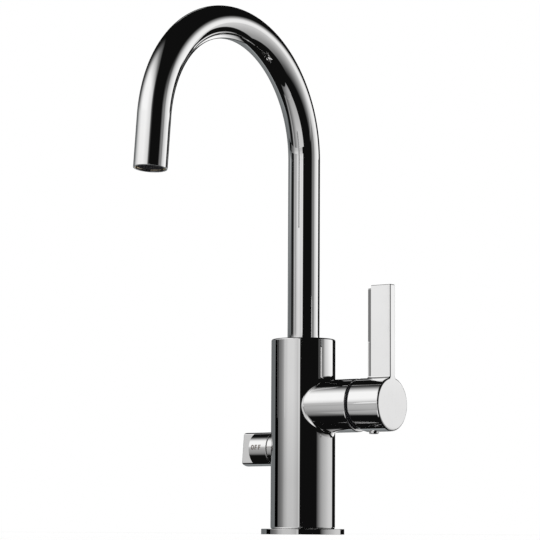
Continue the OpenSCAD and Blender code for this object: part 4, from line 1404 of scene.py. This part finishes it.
@dataclass
class Studio:
    """The white floor and world, lamps, camera, and the dark tent and cards that the chrome mirrors."""

    distance: float = 1804.8
    azimuth: float = 35.8
    height: float = 1.0
    pitch: float = 6.48
    yaw: float = -0.84
    roll: float = 0.33
    lens: float = 154.4
    facing: float = -53.36
    tent_r: float = 90.0
    tent_steps: tuple[int, int] = (24, 72)
    tent_glow: float = 0.005
    floor_half: float = 30.0
    floor_glow: float = 0.82
    world_level: float = 0.76
    card_step: float = 2.0
    middle: Vector = field(default_factory=lambda: Vector((0.0, 0.0, 0.17)))
    lamps: tuple[tuple[str, float, float, float, float, float], ...] = (
        ("key_lamp", -62.0, 42.0, 2.2, 1.6, 16.0),
        ("fill_lamp", 70.0, 25.0, 2.4, 1.4, 7.0),
        ("back_lamp", 170.0, 50.0, 2.4, 1.2, 7.0),
    )

    def build(self) -> None:
        """Sets up everything that isn't part of the faucet."""
        self.world()
        self.floor()
        for lamp in self.lamps:
            self.lamp(*lamp)
        self.tent()
        for card in CARDS:
            self.card(card)
        self.camera()
        bpy.context.scene.view_settings.view_transform = "Standard"

    def direction(self, side: float, rise: float) -> Vector:
        """Returns the direction from the faucet, side degrees round from the camera and rise degrees up."""
        turn, up = math.radians(self.facing + side), math.radians(rise)
        return Vector((math.cos(up) * math.cos(turn), math.cos(up) * math.sin(turn), math.sin(up)))

    def seen_white(self, graph: Graph) -> bpy.types.Node:
        """Adds a mask of the rays that see the background.

        Args:
            graph: the nodes to add to.

        Returns:
            A node that gives 1 for camera, glossy and transmission rays and 0 for the rest.
        """
        path = graph.node("LightPath").outputs
        both = graph.math("MAXIMUM", path["Is Camera Ray"], path["Is Glossy Ray"])
        return graph.math("MAXIMUM", both, path["Is Transmission Ray"])

    def world(self) -> None:
        """Makes a white world that lights the faucet at a plain level."""
        world = bpy.data.worlds.new("studio_world")
        bpy.context.scene.world = world
        graph = Graph.fresh(world)
        plain, white = (graph.node("Background", {"Color": (1, 1, 1), "Strength": level})
                        for level in (self.world_level, 1.0))
        both = graph.node("MixShader", {0: self.seen_white(graph), 1: plain, 2: white})
        graph.node("OutputWorld", {"Surface": both})

    def gear(self, made: Object, name: str, draw: Callable[[Graph], Any], mirror_only: bool = True) -> None:
        """Dresses a piece of the stage.

        Args:
            made: the piece.
            name: its material's name.
            draw: makes the shader on the material's graph.
            mirror_only: whether only glossy rays see it, so that it neither lights nor shades the faucet.
        """
        material = bpy.data.materials.new(name)
        graph = Graph.fresh(material)
        graph.node("OutputMaterial", {"Surface": draw(graph)})
        made.data.materials.append(material)
        if mirror_only:
            made.visible_camera = made.visible_diffuse = made.visible_shadow = False
            made.visible_transmission = made.visible_volume_scatter = False

    def floor(self) -> None:
        """Makes the plain pale floor: white to the camera, and it keeps the faucet's shadow."""
        span = self.floor_half
        made = mesh_object("floor", [(-span, -span, 0), (span, -span, 0), (span, span, 0), (-span, span, 0)],
                           [(0, 1, 2, 3)])

        def pale(graph: Graph) -> bpy.types.Node:
            """Adds matt white that glows where it is seen.

            Args:
                graph: the floor's nodes.

            Returns:
                The shader.
            """
            matt = graph.node("BsdfDiffuse", {"Color": (0.95, 0.95, 0.95)})
            glow = graph.node("Emission", {"Color": (1, 1, 1), "Strength": 1.0})
            share = graph.math("MULTIPLY", self.seen_white(graph), self.floor_glow)
            return graph.node("MixShader", {0: share, 1: matt, 2: glow})

        made.visible_glossy = False
        self.gear(made, "pale_floor", pale, mirror_only=False)

    def lamp(self, name: str, side: float, rise: float, far: float, size: float, power: float) -> None:
        """Hangs one soft lamp that lights without showing in the chrome.

        Args:
            name: its name.
            side: its place round the faucet, in degrees.
            rise: its place above it, in degrees.
            far: its distance.
            size: its width.
            power: its power in watts.
        """
        data = bpy.data.lights.new(name, "AREA")
        data.shape, data.size, data.energy = "SQUARE", size, power
        made = linked(name, data)
        towards = self.direction(side, rise)
        made.location = self.middle + far * towards
        made.rotation_euler = (-towards).to_track_quat("-Z", "Y").to_euler()
        made.visible_glossy = False

    def tent(self) -> None:
        """Makes the dark tent round the faucet, which only the chrome sees."""
        steps, turns = self.tent_steps
        points = [self.middle + self.tent_r * self.direction(360 * j / turns - 180, 180 * i / steps - 90)
                  for i in range(steps + 1) for j in range(turns)]
        faces = [(i + j, i + (j + 1) % turns, i + turns + (j + 1) % turns, i + turns + j)
                 for i in range(0, steps * turns, turns) for j in range(turns)]
        glow = {"Color": (1, 1, 1), "Strength": self.tent_glow}
        made = mesh_object("dark_tent", points, faces)
        self.gear(made, "tent_cloth", lambda graph: graph.node("Emission", glow))

    def card(self, card: Card) -> None:
        """Stands one card in the tent.

        Args:
            card: where it stands and how bright it is across and upward.
        """
        first, last = card.across[0][0], card.across[-1][0]
        low, high = (math.tan(math.radians(stop[0])) for stop in (card.upward[0], card.upward[-1]))
        count = 1 + math.ceil((last - first) / self.card_step)
        points, places = [], []
        for i in range(count + 1):
            angle = first + (last - first) * i / count
            lean = math.cos(math.radians(angle - card.side))
            for share, level in enumerate((low * lean**card.bow_low, high * lean**card.bow_high)):
                spot = self.direction(angle, 0) + Vector((0, 0, level))
                points.append(self.middle + card.distance * spot)
                places.append((i / count, float(share)))
        made = mesh_object(card.name, points, [(i, i + 2, i + 3, i + 1) for i in range(0, 2 * count, 2)])
        layer = made.data.uv_layers.new(name="UVMap")
        for loop in made.data.loops:
            layer.data[loop.index].uv = places[loop.vertex_index]
        sides = [((angle - first) / (last - first), tone) for angle, tone in card.across]
        levels = [((math.tan(math.radians(rise)) - low) / (high - low), tone) for rise, tone in card.upward]

        def lit(graph: Graph) -> bpy.types.Node:
            """Adds the card's glow, clear where it is dark unless the card is solid.

            Args:
                graph: the card's nodes.

            Returns:
                The shader.
            """
            uv = graph.node("SeparateXYZ", {0: graph.node("TexCoord").outputs["UV"]}).outputs
            across, upward = self.printed(graph, uv[0], sides), self.printed(graph, uv[1], levels)
            tone = graph.math("MULTIPLY", across, upward)
            glow = graph.node("Emission", {"Color": card.tint, "Strength": tone})
            if card.solid:
                return glow
            return graph.node("AddShader", {0: graph.node("BsdfTransparent"), 1: glow})

        self.gear(made, card.name, lit)

    def printed(self, graph: Graph, place: bpy.types.NodeSocket, stops: Sequence[tuple[float, float]]) -> Any:
        """Returns the tone at a place on a card, running straight from stop to stop.

        Args:
            graph: the card's nodes.
            place: how far across or up the card, 0 to 1.
            stops: place and tone of each stop.

        Returns:
            The node that gives the tone.
        """
        made = graph.node("ValToRGB", {0: place})
        marks = made.color_ramp.elements
        while len(marks) < len(stops):
            marks.new(0.5)
        for mark, (position, _) in zip(marks, stops):
            mark.position = min(max(position, 0.0), 1.0)
        for mark, (_, tone) in zip(marks, stops):
            mark.color = (tone, tone, tone, 1)
        return made

    def camera(self) -> None:
        """Places the camera where the photograph was taken from."""
        side = math.radians(self.azimuth)
        ahead = Vector((-math.sin(side), math.cos(side), 0))
        ahead, right = swung(ahead, Vector((math.cos(side), math.sin(side), 0)), self.yaw)
        ahead, up = swung(ahead, Vector((0, 0, 1)), self.pitch)
        right, up = swung(right, up, self.roll)
        data = bpy.data.cameras.new("camera")
        data.lens, data.sensor_width = self.lens, 36.0
        data.clip_start, data.clip_end = 0.01, 200.0
        made = linked("camera", data)
        place = Vector((self.distance * math.sin(side), -self.distance * math.cos(side), self.height)) * MM
        made.matrix_world = Matrix.Translation(place) @ Matrix((right, up, -ahead)).transposed().to_4x4()
        bpy.context.scene.camera = made


def main() -> None:
    """Loads the frame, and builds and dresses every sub-assembly."""
    logging.basicConfig(level=logging.INFO, format="%(name)s: %(message)s")
    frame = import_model()
    Studio().build()
    effects = Effects()
    for assembly in (DeckSide(effects), Spout(effects), ArmEnd(effects), Lever(effects), ShutOff(effects)):
        assembly.build()
    Insides(effects, frame["nodes"]).dress()


if __name__ == "__main__":
    main()
